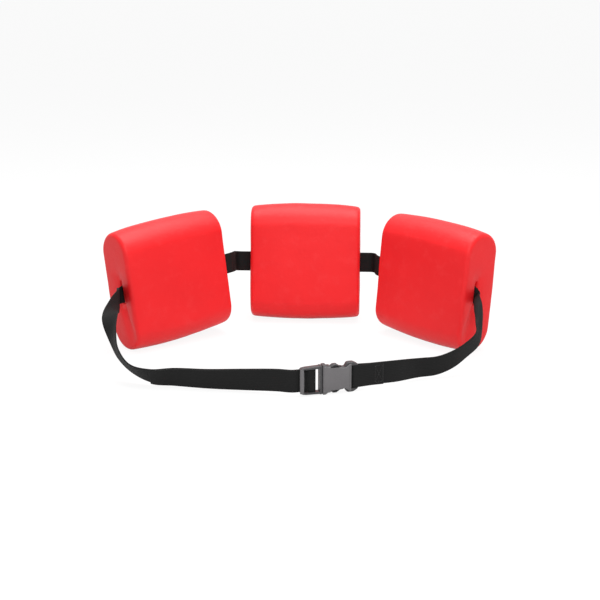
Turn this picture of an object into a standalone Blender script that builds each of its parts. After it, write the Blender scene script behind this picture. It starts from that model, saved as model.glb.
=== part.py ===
"""Swim belt: three foam floats threaded on one webbing strap, closed by a side-release buckle.

X runs to the right and Y away from whoever looks at the buckle, Z is up. The belt stands on
z = 0 on its floats, with the buckle at the front (-Y). Sizes are in metres, angles in degrees.
"""
from math import atan2, cos, pi, radians, sin, tan

import bmesh
import bpy
from mathutils import Matrix, Vector

# Driving dimensions
WEBBING_WIDTH = 0.025
WEBBING_THICKNESS = 0.0015
PIECE_GAP = 0.0003

FLOAT_LENGTH = 0.140
FLOAT_HEIGHT = 0.150
FLOAT_THICKNESS = 0.055
FLOAT_ROUNDING_RISE = 0.029
FLOAT_ARCH = 0.0038
FLOAT_EDGE_RADIUS = 0.007
SLOT_SETBACK = 0.003
SLOT_PLAY = 0.0004
SLOT_MOUTH_FLARE = 0.003
SLOT_MOUTH_DEPTH = 0.007

SIDE_SLIDE_LENGTH = 0.015
CENTRE_SLIDE_LENGTH = 0.008
SLIDE_MARGIN = 0.002
ARM_LEAD = 0.002

BUCKLE_WIDTH = 0.0336
BUCKLE_THICKNESS = 0.010
PLUG_LENGTH = 0.024
SOCKET_BODY_LENGTH = 0.0325
LOOP_SLOT_LENGTH = 0.0085
SOCKET_LENGTH = SOCKET_BODY_LENGTH + LOOP_SLOT_LENGTH

# Where the floats stand: place of the middle, turn about Z, lean back, dip of one end
LEFT_FLOAT_X = -0.1593
LEFT_FLOAT_Y = 0.0384
LEFT_FLOAT_TURN = 38.8
LEFT_FLOAT_LEAN = -4.7
LEFT_FLOAT_DIP = -4.5
CENTRE_FLOAT_X = 0.0076
CENTRE_FLOAT_Y = 0.1395
CENTRE_FLOAT_TURN = -2.9
CENTRE_FLOAT_LEAN = -6.2
RIGHT_FLOAT_X = 0.1624
RIGHT_FLOAT_Y = 0.0339
RIGHT_FLOAT_TURN = -47.7
RIGHT_FLOAT_LEAN = -4.0
RIGHT_FLOAT_DIP = 1.7

# Where the buckle's mouth lies, and where the webbing turns up towards the side floats
BUCKLE_X = 0.0229
BUCKLE_Y = -0.1625
BUCKLE_TURN = 17.9
LEFT_CORNER_X = -0.138
LEFT_CORNER_Y = -0.1414
LEFT_CORNER_HEIGHT = 0.0128
RIGHT_CORNER_X = 0.134
RIGHT_CORNER_Y = -0.1144
RIGHT_CORNER_HEIGHT = 0.0140
TAIL_LENGTH = 0.165

# Stations of the free webbing, from one place to the next: shares of the way in x, y and z,
# then how far its upper edge leans over, the compass direction that it leans to, and the
# share of its width that is left where it curls
LEFT_FALL_SHARES = (
    (0.02, 0.16, 0.01, 4, -71, 1.00),
    (-0.01, 0.34, 0.06, 28, -172, 0.77),
    (-0.02, 0.55, 0.13, 110, 178, 0.78),
    (0.05, 0.70, 0.39, 138, 129, 0.94),
    (0.16, 0.83, 0.68, 137, 96, 1.00),
    (0.37, 0.93, 0.90, 132, 85, 0.96),
    (0.67, 0.99, 1.00, 143, 88, 1.00),
)
LEFT_FRONT_SHARES = (
    (0.29, 0.29, 0.10, 160, 90, 1.00),
    (0.59, 0.52, 0.40, 170, 90, 1.00),
    (0.86, 0.81, 0.85, 178, 90, 1.00),
)
RIGHT_FALL_SHARES = (
    (0.04, 0.12, -0.00, 25, -29, 0.59),
    (0.05, 0.33, 0.10, 71, -10, 0.40),
    (0.05, 0.53, 0.33, 121, 25, 0.42),
    (0.10, 0.69, 0.58, 139, 67, 0.94),
    (0.30, 0.79, 0.77, 143, 72, 1.00),
    (0.52, 0.88, 0.91, 153, 70, 1.00),
    (0.76, 0.95, 0.99, 162, 82, 1.00),
)
LEFT_CORNER_LEAN = 153
RIGHT_CORNER_LEAN = 166
STATION_STEPS = 8

# Plug of the buckle, along its axis from the mouth of the socket
BAR_WIDTH = 0.005
SLOT_LENGTH = 0.0055
FLANGE_LENGTH = 0.003
CROSSBAR_THICKNESS = 0.0032
PLUG_THICKNESS = 0.008
WEBBING_SIDE_PLAY = 0.0004
RAIL_WIDTH = 0.0025
PLUG_CORNER_RADIUS = 0.004
GUIDE_LENGTH = 0.019
GUIDE_WIDTH = 0.0044
GUIDE_THICKNESS = 0.005

# Prongs of the plug
PRONG_ARM_WIDTH = 0.0026
PRONG_REACH = 0.0212
PRONG_CATCH = 0.0094
PRONG_CATCH_RISE = 0.0016
PRONG_THUMB_RISE = 0.0032
PRONG_THICKNESS = 0.0058
PRONG_WALL_PLAY = 0.0012

# Socket of the buckle
SOCKET_WALL = 0.0016
COLLAR_LENGTH = 0.0045
SIDE_WIDTH = 0.0292
WAIST_WIDTH = 0.0248
WAIST_PLACE = 0.0245
CAVITY_DEPTH = 0.0216
NOTCH_START = 0.009
NOTCH_END = 0.0216
EAR_THICKNESS = 0.007
EAR_RADIUS = 0.005
END_BAR_RADIUS = 0.002
END_BAR_INSET = 0.0024
FOLD_LENGTH = 0.030
STITCH_LENGTH = 0.009
STITCH_WIDTH = 0.0008
STITCH_THICKNESS = 0.0005
STITCH_MARGIN = 0.0025

# Places along, across and through the buckle that several of its pieces share
CROSSBAR_MIDDLE = -0.0006
CROSSBAR_RIGHT = -FLANGE_LENGTH - SLOT_LENGTH + PIECE_GAP
CROSSBAR_LEFT = CROSSBAR_RIGHT - BAR_WIDTH
OUTER_BAR_RIGHT = -PLUG_LENGTH + BAR_WIDTH
TAIL_START = -PLUG_LENGTH - PIECE_GAP
SLOT_HALF = WEBBING_WIDTH / 2 + WEBBING_SIDE_PLAY
CAVITY_HALF = SLOT_HALF - PIECE_GAP
CAVITY_HALF_THICKNESS = BUCKLE_THICKNESS / 2 - SOCKET_WALL
END_BAR_PLACE = SOCKET_LENGTH - END_BAR_INSET

EDGE_ROUNDING = 0.0006
ROUND_END_SHARE = 0.95
OVERRUN = 0.002
ARC_STEPS = 4

MATERIALS = {
    "red_foam": ((0.90, 0.030, 0.035), 0.42, 0.0),
    "black_webbing": ((0.012, 0.012, 0.013), 0.85, 0.0),
    "black_thread": ((0.020, 0.020, 0.022), 0.70, 0.0),
    "grey_plastic": ((0.13, 0.13, 0.14), 0.45, 0.0),
}


def material(kind):
    """The Principled material of one kind of piece."""
    if kind in bpy.data.materials:
        return bpy.data.materials[kind]
    colour, roughness, metallic = MATERIALS[kind]
    made = bpy.data.materials.new(kind)
    made.use_nodes = True
    surface = made.node_tree.nodes["Principled BSDF"]
    surface.inputs["Base Color"].default_value = (*colour, 1)
    surface.inputs["Roughness"].default_value = roughness
    surface.inputs["Metallic"].default_value = metallic
    return made


def collection(name):
    """A new collection in the scene."""
    made = bpy.data.collections.new(name)
    bpy.context.scene.collection.children.link(made)
    return made


def place(name, mesh, kind=None, parent=None, matrix=None):
    """Put a mesh in the scene as a sub-part, or as a cutter where it has no material."""
    piece = bpy.data.objects.new(name, mesh)
    if kind:
        mesh.materials.append(material(kind))
        pieces.objects.link(piece)
    else:
        cutters.objects.link(piece)
        piece.hide_render = True
        piece.display_type = "WIRE"
    if parent:
        piece.parent = parent
    if matrix:
        piece.matrix_basis = matrix
    return piece


def empty(name, matrix):
    """A guide that carries pieces drawn in their own frame."""
    made = bpy.data.objects.new(name, None)
    pieces.objects.link(made)
    made.matrix_world = matrix
    return made


def mesh_from(name, bm):
    """Turn a bmesh into a mesh with its faces pointing out."""
    bmesh.ops.recalc_face_normals(bm, faces=bm.faces)
    mesh = bpy.data.meshes.new(name)
    bm.to_mesh(mesh)
    bm.free()
    return mesh


def box(name, low, high, kind=None, parent=None):
    """A box between two corners."""
    low = Vector(low)
    high = Vector(high)
    bm = bmesh.new()
    bmesh.ops.create_cube(bm, size=1)
    bmesh.ops.scale(bm, vec=high - low, verts=bm.verts)
    bmesh.ops.translate(bm, vec=(low + high) / 2, verts=bm.verts)
    return place(name, mesh_from(name, bm), kind, parent)


def loft(name, sections):
    """A closed skin over sections that have as many points each."""
    bm = bmesh.new()
    rings = [[bm.verts.new(point) for point in section] for section in sections]
    for ring, following in zip(rings, rings[1:]):
        for i in range(len(ring)):
            j = (i + 1) % len(ring)
            bm.faces.new((ring[i], ring[j], following[j], following[i]))
    bm.faces.new(rings[0])
    bm.faces.new(rings[-1])
    return mesh_from(name, bm)


def rounded(corners):
    """An outline whose corners, given as x, y and radius, are arcs."""
    outline = []
    for i, (x, y, radius) in enumerate(corners):
        corner = Vector((x, y))
        before = (Vector(corners[i - 1][:2]) - corner).normalized()
        after = (Vector(corners[(i + 1) % len(corners)][:2]) - corner).normalized()
        if radius == 0:
            outline.append(corner)
            continue
        half_angle = before.angle(after) / 2
        middle = corner + (before + after).normalized() * radius / sin(half_angle)
        start = corner + before * radius / tan(half_angle) - middle
        turn = start.angle_signed(corner + after * radius / tan(half_angle) - middle)
        for step in range(ARC_STEPS + 1):
            outline.append(middle + Matrix.Rotation(-turn * step / ARC_STEPS, 2) @ start)
    return outline


def mirrored(corners):
    """Close an upper half outline, drawn from left to right, with its mirror image."""
    return corners + [(x, -y, radius) for x, y, radius in reversed(corners)]


def slab(name, outlines, thickness, middle=0.0):
    """A mesh of one flat outline, with any further ones as holes, drawn as a filled curve."""
    curve = bpy.data.curves.new(name, "CURVE")
    curve.dimensions = "2D"
    curve.fill_mode = "BOTH"
    curve.extrude = thickness / 2
    for outline in outlines:
        spline = curve.splines.new("POLY")
        spline.points.add(len(outline) - 1)
        spline.use_cyclic_u = True
        for point, (x, y) in zip(spline.points, outline):
            point.co = (x, y, 0, 1)
    drawn = bpy.data.objects.new(name, curve)
    pieces.objects.link(drawn)
    evaluated = drawn.evaluated_get(bpy.context.evaluated_depsgraph_get())
    mesh = bpy.data.meshes.new_from_object(evaluated)
    bpy.data.objects.remove(drawn)
    bpy.data.curves.remove(curve)
    bm = bmesh.new()
    bm.from_mesh(mesh)
    bpy.data.meshes.remove(mesh)
    bmesh.ops.remove_doubles(bm, verts=bm.verts, dist=PIECE_GAP / 10)
    bmesh.ops.dissolve_limit(bm, angle_limit=radians(1), verts=bm.verts, edges=bm.edges)
    bmesh.ops.translate(bm, vec=(0, 0, middle), verts=bm.verts)
    return mesh_from(name, bm)


def round_edges(piece, width=EDGE_ROUNDING):
    """Round the sharp edges of a piece."""
    bevel = piece.modifiers.new("rounded edges", "BEVEL")
    bevel.width = width
    bevel.segments = 2
    bevel.limit_method = "ANGLE"
    bevel.angle_limit = radians(50)


def boolean(piece, other, operation="DIFFERENCE"):
    """Cut another solid away from a piece, or join it on."""
    cut = piece.modifiers.new(other.name, "BOOLEAN")
    cut.operation = operation
    cut.solver = "EXACT"
    cut.object = other


# Webbing, as stations of a place and the direction of its edge, as long as its share of the width

def leaning(lean, heading):
    """The direction of an edge that leans from upright towards a compass heading."""
    lean = radians(lean)
    heading = radians(heading)
    return Vector((sin(lean) * cos(heading), sin(lean) * sin(heading), cos(lean)))


def between(start, end, shares):
    """Stations at shares of the way from one place to another."""
    way = end - start
    stations = []
    for x_share, y_share, z_share, lean, heading, width_share in shares:
        step = Vector((way.x * x_share, way.y * y_share, way.z * z_share))
        stations.append((start + step, leaning(lean, heading) * width_share))
    return stations


def slopes(stations):
    """How fast the place and the edge direction change along the webbing, at each station."""
    rates = []
    for (spot, edge), (next_spot, next_edge) in zip(stations, stations[1:]):
        length = (next_spot - spot).length
        rates.append((length, (next_spot - spot) / length, (next_edge - edge) / length))
    rates = [rates[0]] + rates + [rates[-1]]
    found = []
    for (length, *before), (next_length, *after) in zip(rates, rates[1:]):
        share = length / (length + next_length)
        found.append([a.lerp(b, share) for a, b in zip(before, after)])
    return found


def smooth(start, end, bend_in, bend_out, t):
    """A point of the smooth curve from one value to another, t of the way."""
    way = end - start
    return start + way * t + (bend_in - way) * t * (1 - t) ** 2 - (bend_out - way) * t * t * (1 - t)


def route(stations):
    """A smooth run of webbing through its stations."""
    run = []
    slope = slopes(stations)
    for start, end, slope_in, slope_out in zip(stations, stations[1:], slope, slope[1:]):
        length = (end[0] - start[0]).length
        for step in range(STATION_STEPS):
            ends = zip(start, end, slope_in, slope_out)
            t = step / STATION_STEPS
            run.append(tuple(smooth(a, b, in_ * length, out * length, t) for a, b, in_, out in ends))
    run.append(stations[-1])
    return frames(run)


def fall(frame, side, corner, shares):
    """Stations of the arm that leaves a side float's slot and falls to a corner at the front."""
    mouth = FLOAT_LENGTH / 2 + PIECE_GAP
    leads = (0, WEBBING_THICKNESS, ARM_LEAD)
    stations = [slot_station(frame, side * (mouth + lead)) for lead in leads]
    return stations + between(stations[0][0], corner[0], shares) + [corner]


def bend(start, end):
    """A run of webbing that bends from the end of one straight run to the start of the next."""
    start_direction = (start[1][0] - start[0][0]).normalized()
    end_direction = (end[1][0] - end[0][0]).normalized()
    first = start[1][0] + start_direction * PIECE_GAP
    last = end[0][0] - end_direction * PIECE_GAP
    bend_start = first + start_direction * WEBBING_THICKNESS
    bend_end = last - end_direction * WEBBING_THICKNESS
    reach = (bend_end - bend_start).length
    run = [(first, start[1][1])]
    steps = 2 * STATION_STEPS
    for step in range(steps + 1):
        t = step / steps
        spot = bend_start * (1 + 2 * t) * (1 - t) ** 2 + bend_end * t * t * (3 - 2 * t)
        spot += start_direction * reach * t * (1 - t) ** 2
        spot -= end_direction * reach * t * t * (1 - t)
        run.append((spot, start[1][1].lerp(end[0][1], t)))
    run.append((last, end[0][1]))
    return frames(run)


def stretch(run, start, end):
    """The part of a run between two distances along it."""
    cut = []
    along = 0.0
    for station, following in zip(run, run[1:]):
        length = (following[0] - station[0]).length
        for distance in (start, end):
            if along < distance < along + length:
                t = (distance - along) / length
                cut.append(tuple(a.lerp(b, t) for a, b in zip(station, following)))
        along += length
        if start <= along <= end:
            cut.append(following)
    if start <= 0:
        cut.insert(0, run[0])
    return thinned(cut)


def thinned(run):
    """Drop stations that lie on top of the one before, but for the last."""
    kept = [run[0]]
    for station in run[1:-1]:
        near = min((station[0] - other[0]).length for other in (kept[-1], run[-1]))
        if near > WEBBING_THICKNESS / 4:
            kept.append(station)
    return kept + [run[-1]]


def run_length(run):
    """The length of a run along its middle."""
    return sum((b[0] - a[0]).length for a, b in zip(run, run[1:]))


def frames(run):
    """The place, edge direction with the share of the width, and face direction of each station."""
    framed = []
    for i, (spot, edge) in enumerate(run):
        along = run[min(i + 1, len(run) - 1)][0] - run[max(i - 1, 0)][0]
        along.normalize()
        across = (edge - along * edge.dot(along)).normalized()
        framed.append((spot, across * edge.length, along.cross(across)))
    return framed


def beside(run, distance):
    """A run that lies on the face of another one."""
    return [(spot + face * distance, edge, face) for spot, edge, face in run]


def webbing(name, run, origin=None):
    """A length of flat webbing along a run."""
    origin = origin or Vector()
    half_width = WEBBING_WIDTH / 2
    half_thickness = WEBBING_THICKNESS / 2
    corners = ((1, 1), (1, -1), (-1, -1), (-1, 1))
    sections = []
    for spot, edge, face in run:
        section = [spot - origin + edge * half_width * e + face * half_thickness * f for e, f in corners]
        sections.append(section)
    mesh = loft(name, sections)
    mesh.shade_smooth()
    mesh.set_sharp_from_angle(angle=radians(40))
    return place(name, mesh, "black_webbing", matrix=Matrix.Translation(origin))


# Floats

def float_section(x):
    """The side outline of a float at one place along it, drawn in where the end edge rounds."""
    past_edge = max(0, abs(x) - (FLOAT_LENGTH / 2 - FLOAT_EDGE_RADIUS))
    inset = FLOAT_EDGE_RADIUS - max(0, FLOAT_EDGE_RADIUS ** 2 - past_edge ** 2) ** 0.5
    half_height = FLOAT_HEIGHT / 2 - FLOAT_ARCH * (2 * x / FLOAT_LENGTH) ** 2 - inset
    half_thickness = FLOAT_THICKNESS / 2 - inset
    rise = FLOAT_ROUNDING_RISE - inset
    steps = 5 * ARC_STEPS // 2
    section = []
    for side in (1, -1):
        for step in range(steps + 1):
            angle = pi * step / steps
            y = half_thickness * cos(angle) * side
            z = (half_height - rise + rise * sin(angle)) * side
            section.append((x, y, z))
    return section


def float_mesh():
    """A foam block with rounded top and bottom and soft end edges."""
    flat_half = FLOAT_LENGTH / 2 - FLOAT_EDGE_RADIUS
    spans = 7
    places = [-flat_half + 2 * flat_half * i / spans for i in range(spans + 1)]
    for step in range(1, ARC_STEPS + 1):
        reach = FLOAT_EDGE_RADIUS * sin(pi / 2 * step / ARC_STEPS)
        places = [-flat_half - reach] + places + [flat_half + reach]
    mesh = loft("float", [float_section(x) for x in places])
    mesh.shade_smooth()
    mesh.set_sharp_from_angle(angle=radians(40))
    return mesh


def slot_section(x, flare):
    """The outline of the webbing's slot at one place along a float, nearer its inner face."""
    half_width = WEBBING_WIDTH / 2 + SLOT_PLAY + flare
    half_gap = WEBBING_THICKNESS / 2 + SLOT_PLAY + flare
    straight = half_width - half_gap
    section = []
    for side in (1, -1):
        for step in range(ARC_STEPS + 1):
            angle = pi * step / ARC_STEPS
            y = half_gap * cos(angle) * side - SLOT_SETBACK
            section.append((x, y, (straight + half_gap * sin(angle)) * side))
    return section


def slot_mesh():
    """The slot's space, which opens out at both mouths as the dipped foam puckers there."""
    mouth = FLOAT_LENGTH / 2
    throat = mouth - SLOT_MOUTH_DEPTH
    waist = mouth - SLOT_MOUTH_DEPTH / 3
    profile = (
        (mouth + OVERRUN, SLOT_MOUTH_FLARE * (1 + OVERRUN / SLOT_MOUTH_DEPTH)),
        (mouth, SLOT_MOUTH_FLARE),
        (waist, SLOT_MOUTH_FLARE / 3),
        (throat, 0),
    )
    sections = [slot_section(-x, flare) for x, flare in profile]
    sections += [slot_section(x, flare) for x, flare in reversed(profile)]
    return loft("slot", sections)


def make_float(name, x, y, turn, lean, dip=0.0):
    """Stand a float on the floor and return the frame of its slot."""
    rotation = Matrix.Rotation(radians(turn), 4, "Z")
    rotation @= Matrix.Rotation(radians(lean), 4, "X")
    rotation @= Matrix.Rotation(radians(dip), 4, "Y")
    block = float_mesh()
    height = -min((rotation @ vertex.co).z for vertex in block.vertices)
    frame = Matrix.Translation((x, y, height)) @ rotation
    body = place(name, block, "red_foam", matrix=frame)
    boolean(body, place(name + "_slot_cut", slot_mesh(), matrix=frame))
    return frame


def slot_station(frame, x):
    """A station of the webbing on the line of a float's slot."""
    return frame @ Vector((x, -SLOT_SETBACK, 0)), frame.to_3x3() @ Vector((0, 0, 1))


# Buckle, drawn flat: x along the belt from the socket's mouth, y across it, z to the front

def buckle_layers():
    """Heights of the load webbing and of the tail behind the plug's outer bar."""
    radius = CROSSBAR_THICKNESS / 2 + PIECE_GAP + WEBBING_THICKNESS / 2
    load = CROSSBAR_MIDDLE - radius
    tail = load + WEBBING_THICKNESS + PIECE_GAP
    return load, tail


def bar(name, left, right, back, front, half_length, buckle):
    """A bar with rounded sides that runs across the belt."""
    radius = (front - back) / 2 * ROUND_END_SHARE
    corners = [(left, back, radius), (left, front, radius), (right, front, radius), (right, back, radius)]
    mesh = slab(name, [rounded(corners)], 2 * half_length)
    mesh.transform(Matrix.Rotation(pi / 2, 4, "X"))
    return place(name, mesh, parent=buckle)


def make_plug(buckle):
    """The plug's frame: outer bar, crossbar, flange and guide in one moulding."""
    rail = SLOT_HALF + RAIL_WIDTH
    flange = rail + WEBBING_SIDE_PLAY
    end = -PIECE_GAP
    shoulder = end - FLANGE_LENGTH
    outline = rounded(mirrored([
        (-PLUG_LENGTH, rail, PLUG_CORNER_RADIUS),
        (shoulder, rail, 0),
        (shoulder, flange, 0),
        (end, flange, 0),
    ]))
    plug = place("buckle_plug", slab("plug", [outline], PLUG_THICKNESS), "grey_plastic", buckle)
    round_edges(plug)
    beyond = PLUG_THICKNESS / 2 + OVERRUN
    load, tail = buckle_layers()
    bar_back = tail + WEBBING_THICKNESS / 2 + PIECE_GAP
    spaces = (
        ("window", OUTER_BAR_RIGHT, shoulder, beyond),
        ("outer_bar_back", -PLUG_LENGTH - OVERRUN, OUTER_BAR_RIGHT + OVERRUN, bar_back),
    )
    for name, left, right, front in spaces:
        space = box(name, (left, -SLOT_HALF, -beyond), (right, SLOT_HALF, front), parent=buckle)
        boolean(plug, space)
    half = CROSSBAR_THICKNESS / 2
    back = CROSSBAR_MIDDLE - half
    front = CROSSBAR_MIDDLE + half
    crossbar = bar("crossbar", CROSSBAR_LEFT, CROSSBAR_RIGHT, back, front, rail - RAIL_WIDTH / 3, buckle)
    boolean(plug, crossbar, "UNION")
    tip = rounded(mirrored([
        (end - FLANGE_LENGTH / 2, GUIDE_WIDTH / 2, 0),
        (GUIDE_LENGTH, GUIDE_WIDTH / 2, GUIDE_WIDTH / 2 * ROUND_END_SHARE),
    ]))
    guide = place("guide", slab("guide", [tip], GUIDE_THICKNESS), parent=buckle)
    round_edges(guide, EDGE_ROUNDING / 2)
    boolean(plug, guide, "UNION")


def make_prong(name, side, buckle):
    """One springy prong, with its catch and the shoulder that a finger presses."""
    inner = CAVITY_HALF - PRONG_WALL_PLAY - PRONG_ARM_WIDTH
    arm = CAVITY_HALF - PRONG_WALL_PLAY
    root_radius = PRONG_ARM_WIDTH / 2
    pivot = Vector((root_radius, (inner + arm) / 2))
    round_end = root_radius * ROUND_END_SHARE
    thumb = CAVITY_HALF + PRONG_THUMB_RISE
    catch = CAVITY_HALF + PRONG_CATCH_RISE
    peak = (PRONG_CATCH + PRONG_REACH) / 2
    corners = [
        (0, inner, round_end),
        (0, arm, round_end),
        (PRONG_CATCH, arm, root_radius / 3),
        (PRONG_CATCH, catch, root_radius / 3),
        (PRONG_CATCH + root_radius * 2, thumb, root_radius * 2),
        (peak + root_radius * 2, thumb, root_radius * 2),
        (PRONG_REACH, arm, root_radius),
        (PRONG_REACH, inner, round_end),
    ]
    outline = [(point - pivot) for point in rounded(corners)]
    outline = [Vector((point.x, point.y * side)) for point in outline]
    prong = place(name, slab(name, [outline], PRONG_THICKNESS), "grey_plastic", buckle)
    prong.location = (pivot.x, pivot.y * side, 0)
    round_edges(prong, EDGE_ROUNDING / 2)


def make_socket(buckle):
    """The socket: collar, notched sides for the prongs, waist, ears and end bar."""
    wide = BUCKLE_WIDTH / 2
    side = SIDE_WIDTH / 2
    waist = WAIST_WIDTH / 2
    wall = BUCKLE_WIDTH / 2 - SLOT_HALF
    step = COLLAR_LENGTH / 4
    outline = rounded(mirrored([
        (0, wide, step),
        (COLLAR_LENGTH, wide, step),
        (COLLAR_LENGTH + step, side, step / 2),
        (NOTCH_END, side, step),
        (WAIST_PLACE, waist, wall / 2),
        (SOCKET_BODY_LENGTH - step / 4, waist + step, wall / 3),
    ]))
    socket = place("buckle_socket", slab("socket", [outline], BUCKLE_THICKNESS), "grey_plastic", buckle)
    round_edges(socket)
    ears_outline = rounded(mirrored([
        (WAIST_PLACE - step / 2, waist - step / 2, 0),
        (WAIST_PLACE + step / 2, waist - step / 4, wall / 3),
        (SOCKET_BODY_LENGTH - wall, wide, wall),
        (SOCKET_LENGTH, wide, EAR_RADIUS),
    ]))
    ears = place("socket_ears", slab("ears", [ears_outline], EAR_THICKNESS), parent=buckle)
    round_edges(ears)
    boolean(socket, ears, "UNION")
    half = CAVITY_HALF_THICKNESS
    beyond = BUCKLE_THICKNESS / 2 + OVERRUN
    outside = wide + OVERRUN
    notch_depth = CAVITY_HALF - PIECE_GAP
    tip = SOCKET_LENGTH + OVERRUN
    spaces = (
        ("cavity", (-OVERRUN, -CAVITY_HALF, -half), (CAVITY_DEPTH, CAVITY_HALF, half)),
        ("upper_notch", (NOTCH_START, notch_depth, -beyond), (NOTCH_END, outside, beyond)),
        ("lower_notch", (NOTCH_START, -outside, -beyond), (NOTCH_END, -notch_depth, beyond)),
        ("loop_slot", (SOCKET_BODY_LENGTH, -SLOT_HALF, -beyond), (tip, SLOT_HALF, beyond)),
    )
    for name, low, high in spaces:
        boolean(socket, box(name, low, high, parent=buckle))
    radius = END_BAR_RADIUS
    half_length = SLOT_HALF + wall / 2
    end_bar = bar("end_bar", END_BAR_PLACE - radius, END_BAR_PLACE + radius, -radius, radius, half_length, buckle)
    boolean(socket, end_bar, "UNION")


def drawn_run(frame, points, edge):
    """Stations of webbing in the plane of the buckle's axis and thickness."""
    direction = frame.to_3x3() @ Vector((0, edge, 0))
    return [(frame @ Vector((x, 0, z)), direction.copy()) for x, z in points]


def arc(middle_x, middle_z, radius, start, end):
    """Points of an arc in the plane of the buckle's axis and thickness."""
    points = []
    steps = 2 * ARC_STEPS
    for step in range(steps + 1):
        angle = radians(start + (end - start) * step / steps)
        points.append((middle_x + radius * cos(angle), middle_z + radius * sin(angle)))
    return points


def plug_wrap(frame):
    """Webbing that comes up past the crossbar, over it and back behind the outer bar."""
    load, tail = buckle_layers()
    radius = CROSSBAR_MIDDLE - load
    right = CROSSBAR_RIGHT - CROSSBAR_THICKNESS / 2
    left = CROSSBAR_LEFT + CROSSBAR_THICKNESS / 2
    front = CROSSBAR_MIDDLE + radius
    points = arc(right, CROSSBAR_MIDDLE, radius, -90, 90)
    steps = 2 * ARC_STEPS
    for step in range(steps + 1):
        share = step / steps
        fall = (1 - cos(pi * share)) / 2
        points.append((left + (OUTER_BAR_RIGHT - left) * share, front + (tail - front) * fall))
    points.append((TAIL_START, tail))
    return frames(drawn_run(frame, points, -1))


def socket_fold(frame):
    """Webbing that comes along the belt, round the socket's end bar and back on itself."""
    layer = (WEBBING_THICKNESS + PIECE_GAP) / 2
    radius = END_BAR_RADIUS + PIECE_GAP + WEBBING_THICKNESS / 2
    fold_end = SOCKET_LENGTH + FOLD_LENGTH
    meet = SOCKET_LENGTH + FOLD_LENGTH / 2
    slope = atan2(radius - layer, meet - END_BAR_PLACE)
    turn = 90 - slope * 180 / pi
    bar_arc = arc(END_BAR_PLACE, 0, radius, -turn, turn - 360)
    front = [(fold_end + BAR_WIDTH, -layer), (meet, -layer)]
    back = [(meet, layer), (fold_end, layer)]
    return drawn_run(frame, front + bar_arc + back, -1)


def make_stitching(buckle):
    """The crossed box of thread that closes the sewn loop."""
    tall = WEBBING_WIDTH / 2 - STITCH_MARGIN
    right = SOCKET_LENGTH + FOLD_LENGTH - STITCH_MARGIN / 2
    long = STITCH_LENGTH / 2
    middle = right - long
    diagonal = (long ** 2 + tall ** 2) ** 0.5
    beside_cross = STITCH_WIDTH / 2 * diagonal / tall
    above_cross = STITCH_WIDTH / 2 * diagonal / long
    inner_long = long - STITCH_WIDTH
    inner_tall = tall - STITCH_WIDTH
    base = inner_tall * long / tall - beside_cross
    flank = inner_long * tall / long - above_cross
    outlines = [[(middle - long, tall), (middle + long, tall), (middle + long, -tall), (middle - long, -tall)]]
    for side in (1, -1):
        over = inner_tall * side
        out = middle + inner_long * side
        outlines.append([(middle - base, over), (middle + base, over), (middle, above_cross * side)])
        outlines.append([(out, flank), (out, -flank), (middle + beside_cross * side, 0)])
    surface = WEBBING_THICKNESS + PIECE_GAP / 2
    thread_middle = surface + PIECE_GAP + STITCH_THICKNESS / 2
    mesh = slab("stitching", outlines, STITCH_THICKNESS, thread_middle)
    place("loop_stitching", mesh, "black_thread", buckle)


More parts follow.
